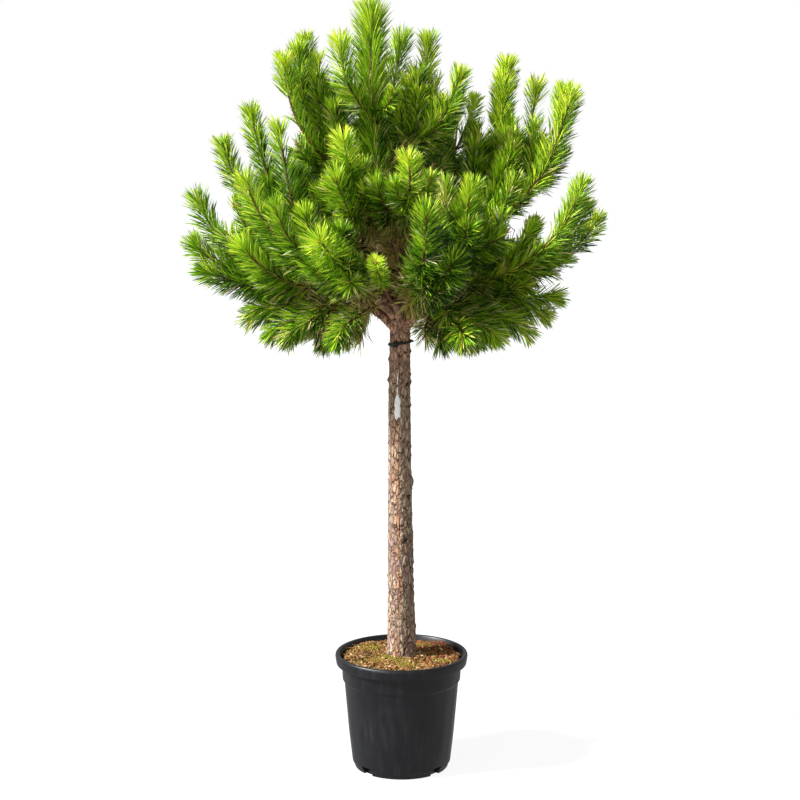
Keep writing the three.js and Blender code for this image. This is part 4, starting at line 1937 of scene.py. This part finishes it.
@dataclass
class Branching:
    """The rule by which side shoots grow from a leading shoot: in whorls, then turning to run with it."""

    whorls: tuple[tuple[float, int], ...] = ((0.08, 2), (0.26, 2), (0.45, 1))
    opening: float = 42.0
    opening_spread: float = 9.0
    outward: float = 0.35
    turned_share: float = 0.85
    length_share: tuple[float, float] = (0.4, 0.62)
    shortest: float = 75.0
    longest: float = 215.0
    hang: float = 0.22
    needle_reach: float = 51.0
    sway: float = 6.0
    leading_tip: float = 2.8
    side_foot: float = 3.6
    side_tip: float = 2.0
    weak_lengths: tuple[float, float] = (70.0, 150.0)

    def leading(
        self, draw: Chance, foot: Points, tip: Sequence[float], radius: float,
        rise: tuple[float, float] = (0.82, 0.17), bare: float = 10.0,
    ) -> Shoot:
        """The leading shoot of a plume, which ends short of the plume's tip by a needle's length.

        Args:
            draw: the source of chance.
            foot: where it starts.
            tip: the plume's tip as bearing, reach, height and flush.
            radius: its radius at its foot, in metres.
            rise: how it bends up, as the shares of its run and of its rise at its middle.
            bare: how much of its foot carries no needles, in millimetres.

        Returns:
            The shoot.
        """
        path = arch(foot, polar(*tip[:3]), *rise, 40)
        path = at_lengths(path, np.linspace(0, lengths(path)[-1] - self.needle_reach * MM, 28))
        share = np.linspace(0, 1, len(path))[:, None]
        aside = unit(np.cross(path[-1] - path[0], draw.normal(size=3))) * self.sway * MM
        path = path + aside * np.sin(share * 2 * math.pi * draw.uniform(0.8, 1.3)) * share
        return Shoot(path, radius, self.leading_tip * MM, tip[3], bare=bare * MM, leading=True)

    def side(self, draw: Chance, parent: Shoot, place: float, turn: float) -> Shoot:
        """A side shoot. Most of those that would grow out of the crown at its front or its back turn inwards.

        Args:
            draw: the source of chance.
            parent: the shoot that it grows from.
            place: where, as a share of the parent's length.
            turn: its bearing round the parent, in radians.

        Returns:
            The shoot.
        """
        forward, across, lift = carried_frames(parent.path)
        index = min(int(place * len(parent.path)), len(parent.path) - 1)
        foot, ahead = parent.path[index], forward[index]
        out = math.cos(turn) * across[index] + math.sin(turn) * lift[index]
        outer = -1 if parent.path[-1][1] < 60 * MM else 1
        if out[1] * outer > self.outward and draw.uniform() < self.turned_share:
            out = unit(out * [1, -1, 1])
        angle = math.radians(self.opening + draw.uniform(-self.opening_spread, self.opening_spread))
        first = unit(math.cos(angle) * ahead + math.sin(angle) * out)
        share = draw.uniform(*self.length_share)
        reach = np.clip(parent.length * (1 - place) * share, self.shortest * MM, self.longest * MM)
        goal = forward[-1]
        later = unit(0.32 * first + 0.95 * goal - self.hang * (1 - goal[2]) * UP)
        middle = foot + first * reach * 0.42
        path = bend(foot, middle, middle + later * reach * 0.62, 14)
        radius = self.side_foot * MM * (1 - 0.3 * place)
        flush = parent.flush * draw.uniform(0.56, 0.86)
        needle_share = draw.uniform(0.88, 1.0)
        return Shoot(path, radius, self.side_tip * MM, flush, age=0.08, bare=4 * MM, reach=needle_share)

    def grow(self, draw: Chance, parent: Shoot) -> list[Shoot]:
        """All side shoots of a leading shoot.

        Args:
            draw: the source of chance.
            parent: the leading shoot.

        Returns:
            The side shoots.
        """
        shoots = []
        turn = draw.uniform(0, 2 * math.pi)
        for place, count in self.whorls:
            for _ in range(count):
                turn += GOLDEN_ANGLE
                spread = np.clip(place + draw.uniform(-0.035, 0.035), 0.02, 0.7)
                shoots.append(self.side(draw, parent, spread, turn))
        return shoots

    def inner(self, draw: Chance, bough: Points, radius: float, count: int = 4) -> list[Shoot]:
        """Short weak shoots along the outer part of a bough, with old needles.

        Args:
            draw: the source of chance.
            bough: the bough's path.
            radius: the bough's radius at its end, in metres.
            count: how many.

        Returns:
            The shoots, the first of them the bough's own outer stretch.
        """
        outer = at_lengths(bough, np.linspace(0.5, 1.0, 12) * lengths(bough)[-1])
        shoots = [Shoot(outer, radius, radius, 0.2, age=0.8, density=0.5, reach=0.95)]
        turn = draw.uniform(0, 2 * math.pi)
        for _ in range(count):
            turn += GOLDEN_ANGLE
            weak = self.side(draw, Shoot(bough, radius, radius, 0.25), draw.uniform(0.4, 0.9), turn)
            reach = draw.uniform(*self.weak_lengths) * MM
            weak.path = at_lengths(weak.path, np.linspace(0, min(reach, weak.length), 10))
            weak.age, weak.flush, weak.density = 0.4, draw.uniform(0.15, 0.45), 0.85
            shoots.append(weak)
        return shoots


@dataclass
class Mass:
    """The shoots of one mass of needles, and the bough that carries them where it isn't the leader."""

    name: str
    bough: Points | None
    bough_radii: tuple[float, float] | None
    shoots: list[Shoot]
    plume: float


@dataclass
class Skeleton:
    """All boughs and shoots of the crown."""

    trunk: Trunk
    rule: Branching = field(default_factory=Branching)
    thinning: Thinning = field(default_factory=Thinning)
    overlap: float = 18.0
    bough_taper: float = 0.6
    leading_share: float = 0.45
    longest_bare: float = 100.0
    bough_bend: tuple[float, float] = (0.45, 0.8)
    leader_shoot_radius: float = 4.5
    weak_shoots: int = 6
    weak_span: tuple[float, float] = (1600.0, 1800.0)
    weak_stem: float = 230.0
    seed: int = 41

    def thinned(self, shoots: Sequence[Shoot]) -> list[Shoot]:
        """Leaves out the side shoots that would grow across an opening."""
        return [shoot for shoot in shoots if shoot.leading or self.thinning.cover(shoot.path[4:]).max() < 0.5]

    def limb(self, index: int, limb: Limb) -> Mass:
        """Grows one limb. A leading shoot with a long bare foot has no side shoots.

        Args:
            index: its number, which picks its chances.
            limb: its sizes.

        Returns:
            Its bough and shoots.
        """
        draw = np.random.default_rng(self.seed + index)
        bough = arch(self.trunk.middle(limb.start), polar(*limb.end), *self.bough_bend, 40)
        root = limb.root_radius * MM
        end = self.bough_taper * root
        foot = at_lengths(bough, np.array([lengths(bough)[-1] - self.overlap * MM]))[0]
        shoots = []
        for tip in limb.tips:
            leading = self.rule.leading(draw, foot, tip, self.leading_share * root, limb.bend, limb.bare)
            shoots.append(leading)
            if limb.bare < self.longest_bare:
                shoots.extend(self.rule.grow(draw, leading))
        shoots.extend(self.rule.inner(draw, bough, end))
        return Mass(limb.name, bough, (root, end), self.thinned(shoots), limb.plume)

    def top(self) -> Mass:
        """Grows the needles of the leader and the shoots round it.

        Returns:
            The mass, which has no bough of its own.
        """
        draw = np.random.default_rng(self.seed + len(LIMBS))
        shoots = []
        for part in LEADER_STRETCHES:
            stem = self.trunk.middle(np.linspace(part.low, part.high, part.points))
            foot_radius, tip_radius = part.radii
            grown = {"density": part.density, "reach": part.reach, "leading": part.leading}
            shoots.append(Shoot(stem, foot_radius * MM, tip_radius * MM, part.flush, part.age, **grown))
        foot = self.trunk.middle(LEADER_FOOT)
        for tip, reach in zip(LEADER_TIPS, LEADER_REACHES):
            shoots.append(self.rule.leading(draw, foot, tip, self.leader_shoot_radius * MM))
            shoots[-1].reach = reach
        turn = draw.uniform(0, 2 * math.pi)
        for height in np.linspace(*self.weak_span, self.weak_shoots):
            turn += GOLDEN_ANGLE
            stem = self.trunk.middle(np.linspace(height, height + self.weak_stem, 12))
            shoots.append(self.rule.side(draw, Shoot(stem, 5 * MM, 4 * MM, 0.5), 0.1, turn))
        return Mass("top", None, None, self.thinned(shoots), LEADER_PLUME)

    def masses(self) -> list[Mass]:
        """Every mass of the crown, the leader's last."""
        return [*(self.limb(index, limb) for index, limb in enumerate(LIMBS)), self.top()]


@dataclass
class Woodwork:
    """The meshes of the boughs and of the twigs."""

    bough_sides: int = 22
    bough_rings: int = 90
    plate_columns: int = 6
    plate_length: float = 16.0
    collar_swell: float = 0.35
    collar_length: float = 45.0
    relief: float = 1.7
    twig_sides: int = 6
    twig_step: float = 22.0

    def bough(self, soup: Soup, mass: Mass, seed: int) -> None:
        """Adds one bough, thicker at its collar and with its own bark in relief.

        Args:
            soup: what it is added to.
            mass: the bough's mass.
            seed: picks its bark.
        """
        root, end = mass.bough_radii
        path = at_lengths(mass.bough, np.linspace(0, lengths(mass.bough)[-1], self.bough_rings))
        along = lengths(path)
        collar = self.collar_swell * root * np.exp(-along / (self.collar_length * MM))
        mean = root + (end - root) * (along / along[-1]) + collar
        bearing, length = np.meshgrid(whole_turn(self.bough_sides), along)
        wave = Grain.clouds(np.stack([np.cos(bearing) * 2, np.sin(bearing) * 2, length * 60], axis=-1), seed)
        around = bearing / (2 * math.pi) * self.plate_columns + 0.3 * wave
        rising = length / (self.plate_length * MM) + 0.4 * wave
        joint, tone, climb = Grain.plates(around, rising, self.plate_columns, seed)
        plate = eased(joint, 0.02, 0.35)
        lift = (plate * (0.7 + 0.4 * climb) - 0.5 + 0.4 * wave) * self.relief * MM
        radii = mean[:, None] + lift * np.clip(mean / 0.012, 0.4, 1)[:, None]
        marks = np.stack([np.append(plate.ravel(), [1, 1]), np.append(tone.ravel(), [0.5, 0.5])], axis=-1)
        soup.add(*tube(path, radii, self.bough_sides), marks)

    def build_boughs(self, masses: Sequence[Mass]) -> None:
        """Makes all boughs as one piece.

        Args:
            masses: the masses of the crown.
        """
        soup = Soup()
        carried = [mass for mass in masses if mass.bough is not None]
        for index, mass in enumerate(carried):
            self.bough(soup, mass, 100 + index)
        mesh = soup.mesh("bough_bark")
        marks = np.vstack(soup.marks)
        shown = {"joint": marks[:, 0], "tone": marks[:, 1], "warmth": np.full(len(marks), 0.9)}
        for label, values in shown.items():
            set_attribute(mesh, label, "FLOAT", values)
        nodes = [f"bough_{mass.name}" for mass in carried]
        finish_piece(make_piece(mesh, BarkFinish("bark_bough")), "bark", *nodes)

    def build_twigs(self, masses: Sequence[Mass]) -> None:
        """Makes the stems of all shoots as one piece, but for the oldest, which run inside thicker wood.

        Args:
            masses: the masses of the crown.
        """
        soup = Soup()
        for shoot in (shoot for mass in masses for shoot in mass.shoots if shoot.age <= 0.6):
            rings = max(5, int(shoot.length / (self.twig_step * MM)))
            path = at_lengths(shoot.path, np.linspace(0, shoot.length, rings))
            soup.add(*tube(path, np.linspace(shoot.foot_radius, shoot.tip_radius, rings), self.twig_sides))
        finish_piece(make_piece(soup.mesh("twig_stems"), TwigFinish()), "bark")


# ---- needles


@dataclass
class Foliage:
    """The needles: pairs in a spiral round each shoot, close at its tip and wide at its foot."""

    thinning: Thinning
    length: float = 66.0
    plume: float = 48.0
    width: float = 4.0
    pair_angle: float = 26.0
    spacing: float = 0.82
    tuft: int = 20
    tip_angle: float = 22.0
    middle_angle: float = 41.0
    opening_length: float = 24.0
    aged_angle: float = 12.0
    angle_spread: float = 7.0
    tuft_angles: tuple[float, float] = (3.0, 46.0)
    rise: float = 0.06
    sag: float = 0.36
    shade_spread: float = 0.24
    glints: float = 0.015
    front_share: float = 0.4
    thinned_share: float = 0.985
    lit_side: tuple[float, float, float] = (-0.6, -0.3, 0.75)
    heart: tuple[float, float] = (140.0, 350.0)
    heart_top: tuple[float, float] = (1560.0, 1820.0)
    seed: int = 300

    @staticmethod
    def sliver(direction: Points, roll: float) -> tuple[Points, list[Face]]:
        """One needle of length and width 1: four points, as a strip with pointed ends.

        Args:
            direction: where it points.
            roll: its turn about its own middle, in radians.

        Returns:
            Its points and its four faces.
        """
        aim = unit(direction)
        side = unit(np.cross(aim, [math.cos(roll), math.sin(roll), 0.2]))
        lift = np.cross(aim, side)
        points = np.array([aim * 0, aim, 0.3 * aim + 0.5 * side, 0.78 * aim - 0.4 * side + 0.36 * lift])
        return points, [(0, 2, 1), (0, 1, 3), (0, 3, 2), (1, 2, 3)]

    def pair(self, index: int) -> Soup:
        """A pair of needles that part from each other, 1 long and 1 wide.

        Args:
            index: picks its angles.

        Returns:
            The shape.
        """
        draw = np.random.default_rng(self.seed + index)
        soup = Soup()
        for sign in (-1, 1):
            angle = math.radians(self.pair_angle / 2 * draw.uniform(0.6, 1.5)) * sign
            points, faces = self.sliver(UP, draw.uniform(0, math.pi))
            slant = math.tan(angle) * self.length / self.width
            points[:, 1] += points[:, 2] * slant
            points[:, 2] *= draw.uniform(0.9, 1.0)
            soup.add(points, faces)
        return soup

    def places(self, draw: Chance, shoot: Shoot) -> tuple[Points, int]:
        """Where the pairs stand along a shoot: evenly, and then a tuft at its tip.

        Args:
            draw: the source of chance.
            shoot: the shoot.

        Returns:
            Each pair's length along the shoot in metres, and how many belong to the tuft.
        """
        span = shoot.length - shoot.bare
        count = max(4, int(span / (self.spacing * MM) * shoot.density * draw.uniform(0.92, 1.08)))
        tuft = self.tuft if shoot.age < 0.6 else 0
        even = shoot.bare + (np.arange(count) + draw.uniform(-0.4, 0.4, count)) * span / count
        crowded = shoot.length - draw.uniform(2, 12, tuft) * MM
        return np.clip(np.concatenate([even, crowded]), 0, shoot.length), tuft

    def newness(
        self, draw: Chance, shoot: Shoot, start: Points, out: Points, to_tip: Points
    ) -> Points:
        """How new and bright the pairs look: newest at tips; painted light at the top, on the right and lit
        side.

        Args:
            draw: the source of chance.
            shoot: the shoot.
            start: where each pair starts.
            out: which way out from the shoot it stands.
            to_tip: how far it is from the shoot's tip, in millimetres.

        Returns:
            One number a pair, 0 to just under 1.
        """
        x, _, z = start.T / MM
        newness = shoot.flush * (0.52 + 0.3 * np.exp(-to_tip / 60)) + 0.08 * np.exp(-to_tip / 16)
        newness += draw.normal(0, self.shade_spread, len(start)) - 0.1 * shoot.age
        # Painted light: pairs that face the lit side of a shoot are dealt brighter greens.
        newness += 0.16 * out @ unit(np.array(self.lit_side)) - 0.01
        # Brighter greens high up, partly new growth and partly painted light from above; brighter on the
        # crown's right as painted light, where it is shaded.
        newness += 0.13 * eased(z, 1700, 2100) + 0.16 * eased(x, 100, 300)
        return np.clip(newness, 0, 0.999)

    def fading(self, shoot: Shoot, start: Points, to_tip: Points) -> Points:
        """How likely the pairs are to have faded: most on old wood, in the heart of the crown and low down.

        Args:
            shoot: the shoot.
            start: where each pair starts.
            to_tip: how far it is from the shoot's tip, in millimetres.

        Returns:
            One number a pair, 0 to 1.
        """
        x, y, z = start.T / MM
        low = 1 - eased(z, 1400, 1560)
        inner = (1 - eased(np.hypot(x, y), 90, 220)) * (z < 1760)
        narrowed = x * np.where(x > 0, 1.7, 1.0)
        heart = (1 - eased(np.hypot(narrowed, y), *self.heart)) * (1 - eased(z, *self.heart_top))
        old = eased(to_tip, 90, 240)
        return np.clip(0.7 * shoot.age + old * (0.06 + heart) + 0.42 * heart + 0.14 * low + 0.4 * inner, 0, 1)

    def spray(self, draw: Chance, shoot: Shoot, plume: float) -> Sown:
        """Places the pairs of needles of one shoot.

        Args:
            draw: the source of chance.
            shoot: the shoot.
            plume: the radius of its mass's plumes, in millimetres.

        Returns:
            The pairs.
        """
        place, tuft = self.places(draw, shoot)
        count = len(place)
        to_tip = (shoot.length - place) / MM
        forward, side, lift = (at_lengths(shoot.path, place, part) for part in carried_frames(shoot.path))
        turn = np.arange(count) * GOLDEN_ANGLE + draw.uniform(-0.35, 0.35, count)
        out = np.cos(turn)[:, None] * side + np.sin(turn)[:, None] * lift

        splay = 12 * float(eased(np.array(shoot.flush), 0.84, 0.94))
        opened = 1 - np.exp(-to_tip / self.opening_length)
        angle = self.tip_angle + (self.middle_angle - self.tip_angle) * opened
        angle = angle + self.aged_angle * shoot.age + splay
        angle = np.radians(angle + draw.normal(0, self.angle_spread, count))
        narrow, wide = self.tuft_angles
        angle[count - tuft:] = np.radians(draw.uniform(narrow, wide + 2 * splay, tuft))
        aim = np.cos(angle)[:, None] * forward + np.sin(angle)[:, None] * out
        sag = self.rise - self.sag * np.clip(1 - forward[:, 2], 0, 1) ** 1.5 - 0.14 * shoot.age
        aim = unit(aim + UP * (sag + draw.normal(0, 0.04, count))[:, None])
        size = self.length * MM * plume / self.plume * shoot.reach * draw.uniform(0.8, 1.08, count)
        size = size * (0.88 + 0.12 * np.clip(to_tip / 30, 0, 1))

        start = at_lengths(shoot.path, place)
        newness = self.newness(draw, shoot, start, out, to_tip)
        shade = NeedleShade.of(newness, draw.uniform(0, 1, count), self.fading(shoot, start, to_tip))
        # Painted highlight: a few pairs at random get the near-white glint shade.
        shade = np.where(draw.uniform(0, 1, count) < self.glints, NeedleShade.GLINT.number, shade)
        sown = Sown(start, aim, unit(forward + 0.3 * out), np.full(count, self.width * MM), size, shade)
        # Pairs are sparse on the front of a leading shoot, so that its stem shows there.
        facing = shoot.leading & (out[:, 1] < -0.72) & (to_tip > 30)
        return sown.kept(~facing | (draw.uniform(0, 1, count) < self.front_share))

    def thinned(self, draw: Chance, sown: Sown) -> Sown:
        """Leaves out most pairs that would cross an opening in the crown.

        Args:
            draw: the source of chance.
            sown: the pairs.

        Returns:
            Those that stay.
        """
        needle = sown.aim * sown.reach[:, None]
        shares = (0.25, 0.5, 0.75, 1)
        cover = np.maximum.reduce([self.thinning.cover(sown.start + needle * share) for share in shares])
        return sown.kept(draw.uniform(0, 1, len(cover)) > self.thinned_share * cover)

    def build(self, masses: Sequence[Mass]) -> None:
        """Makes the needles of every mass, each mass a piece of its own.

        Args:
            masses: the masses of the crown.
        """
        sower = Sower("needle_pair", [self.pair(index) for index in range(4)], NeedleShade)
        for index, mass in enumerate(masses):
            draw = np.random.default_rng(self.seed + 10 + index)
            sown = Sown.joined([self.spray(draw, shoot, mass.plume) for shoot in mass.shoots])
            piece = sower.sow(f"needles_{mass.name}", self.thinned(draw, sown), index)
            finish_piece(piece, "needles", f"foliage_{mass.name}")
        sower.clear()


@dataclass
class Buds:
    """The brown buds at the tips of the shoots: one on a side shoot, a cluster on a leading one."""

    length: float = 20.0
    width: float = 9.0
    cluster: int = 4
    sunk: float = 2.0
    pale_share: float = 0.3
    seed: int = 500

    @staticmethod
    def bud() -> Soup:
        """One bud, 1 long and 1 wide."""
        path = np.array([[0, 0, 0], [0, 0, 0.35], [0, 0, 0.7], [0, 0, 1.0]])
        return Soup().add(*tube(path, np.array([0.34, 0.5, 0.36, 0.06]), 6))

    def build(self, masses: Sequence[Mass]) -> None:
        """Makes all buds as one piece.

        Args:
            masses: the masses of the crown.
        """
        draw = np.random.default_rng(self.seed)
        start, aim, size = [], [], []
        for shoot in (shoot for mass in masses for shoot in mass.shoots if shoot.age < 0.3):
            ahead = unit(shoot.path[-1] - shoot.path[-3])
            for number in range(self.cluster if shoot.leading else 1):
                start.append(shoot.path[-1] - ahead * self.sunk * MM)
                aim.append(unit(ahead + (number > 0) * 0.7 * draw.normal(size=3) / 1.7))
                size.append((1.0 if number == 0 else 0.7) * draw.uniform(0.85, 1.15))
        scale, aim = np.array(size) * MM, np.array(aim)
        lean = unit(np.cross(aim, draw.normal(size=aim.shape)))
        brown = draw.uniform(0, 1, len(scale)) < 1 - self.pale_share
        shade = np.where(brown, BudShade.BROWN.number, BudShade.PALE.number)
        sown = Sown(np.array(start), aim, lean, scale * self.width, scale * self.length, shade)
        strew("shoot_buds", "bark", [self.bud()], BudShade, sown, 1)


# ---- studio


@dataclass
class Studio:
    """Camera, light and floor. Places and the floor's size are in metres, unlike the tree's."""

    camera_place: tuple[float, float, float] = (-0.0045, -5.3, 1.93)
    camera_pitch: float = 8.57
    lens: float = 80.775
    sun_bearing: float = 198.6
    sun_height: float = 38.0
    sun_strength: float = 6.9
    sun_softness: float = 8.0
    fill: float = 0.45
    lamp_place: tuple[float, float, float] = (-0.95, -1.4, 0.75)
    lamp_aim: tuple[float, float, float] = (0.0, 0.0, 1.35)
    lamp_power: float = 6.6
    lamp_size: float = 0.6
    floor_half: float = 40.0

    def build(self) -> None:
        """Sets up the studio."""
        scene = bpy.context.scene
        scene.view_settings.view_transform = "Standard"
        scene.camera = put("camera", bpy.data.cameras.new("camera"))
        scene.camera.location = self.camera_place
        scene.camera.rotation_euler = (math.radians(90 - self.camera_pitch), 0, 0)
        scene.camera.data.lens = self.lens
        bearing, height = math.radians(self.sun_bearing), math.radians(self.sun_height)
        level = math.cos(height)
        towards = Vector((math.cos(bearing) * level, math.sin(bearing) * level, math.sin(height)))
        sun = self.light("sun", "SUN", self.sun_strength, towards)
        sun.data.angle = math.radians(self.sun_softness)
        towards = Vector(self.lamp_place) - Vector(self.lamp_aim)
        lamp = self.light("low_lamp", "AREA", self.lamp_power, towards)
        lamp.data.size = self.lamp_size
        lamp.location = self.lamp_place
        self.surround(scene)
        self.lay_floor()

    @staticmethod
    def light(name: str, kind: str, strength: float, towards: Vector) -> bpy.types.Object:
        """Adds a light.

        Args:
            name: its name.
            kind: SUN or AREA.
            strength: how strong it is.
            towards: the way from what it lights to the light.

        Returns:
            The light.
        """
        light = put(name, bpy.data.lights.new(name, kind))
        light.data.energy = strength
        light.rotation_mode = "QUATERNION"
        light.rotation_quaternion = towards.to_track_quat("Z", "Y")
        return light

    def surround(self, scene: bpy.types.Scene) -> None:
        """A white surround that lights the shade gently.

        Args:
            scene: the scene that gets it.
        """
        world = bpy.data.worlds.new("surround")
        scene.world = world
        world.use_nodes = True
        graph = Graph(world.node_tree)
        background = world.node_tree.nodes["Background"]
        background.inputs["Color"].default_value = (1, 1, 1, 1)
        seen = graph.add("ShaderNodeLightPath", out="Is Camera Ray")
        graph.feed(background.inputs["Strength"], seen * (1 - self.fill) + self.fill)

    def lay_floor(self) -> None:
        """A pale floor that runs out of sight."""
        half = self.floor_half
        corners = [(-half, -half, 0), (half, -half, 0), (half, half, 0), (-half, half, 0)]
        floor = make_piece(make_mesh("floor", corners, [(0, 1, 2, 3)]), FloorFinish())
        floor.visible_diffuse = False
        floor.visible_glossy = False


# ---- the tree


def main() -> None:
    """Builds the studio, the pot and the tree."""
    logging.basicConfig(level=logging.INFO, format="%(name)s %(message)s")
    Studio().build()
    pot = Pot()
    pot.build()
    trunk = Trunk()
    trunk.build()
    SoilBed(pot, trunk).build()
    Tie(trunk).build()
    ResinStreak(trunk).build()
    skeleton = Skeleton(trunk)
    masses = skeleton.masses()
    woodwork = Woodwork()
    woodwork.build_boughs(masses)
    woodwork.build_twigs(masses)
    Foliage(skeleton.thinning).build(masses)
    Buds().build(masses)


if __name__ == "__main__":
    main()
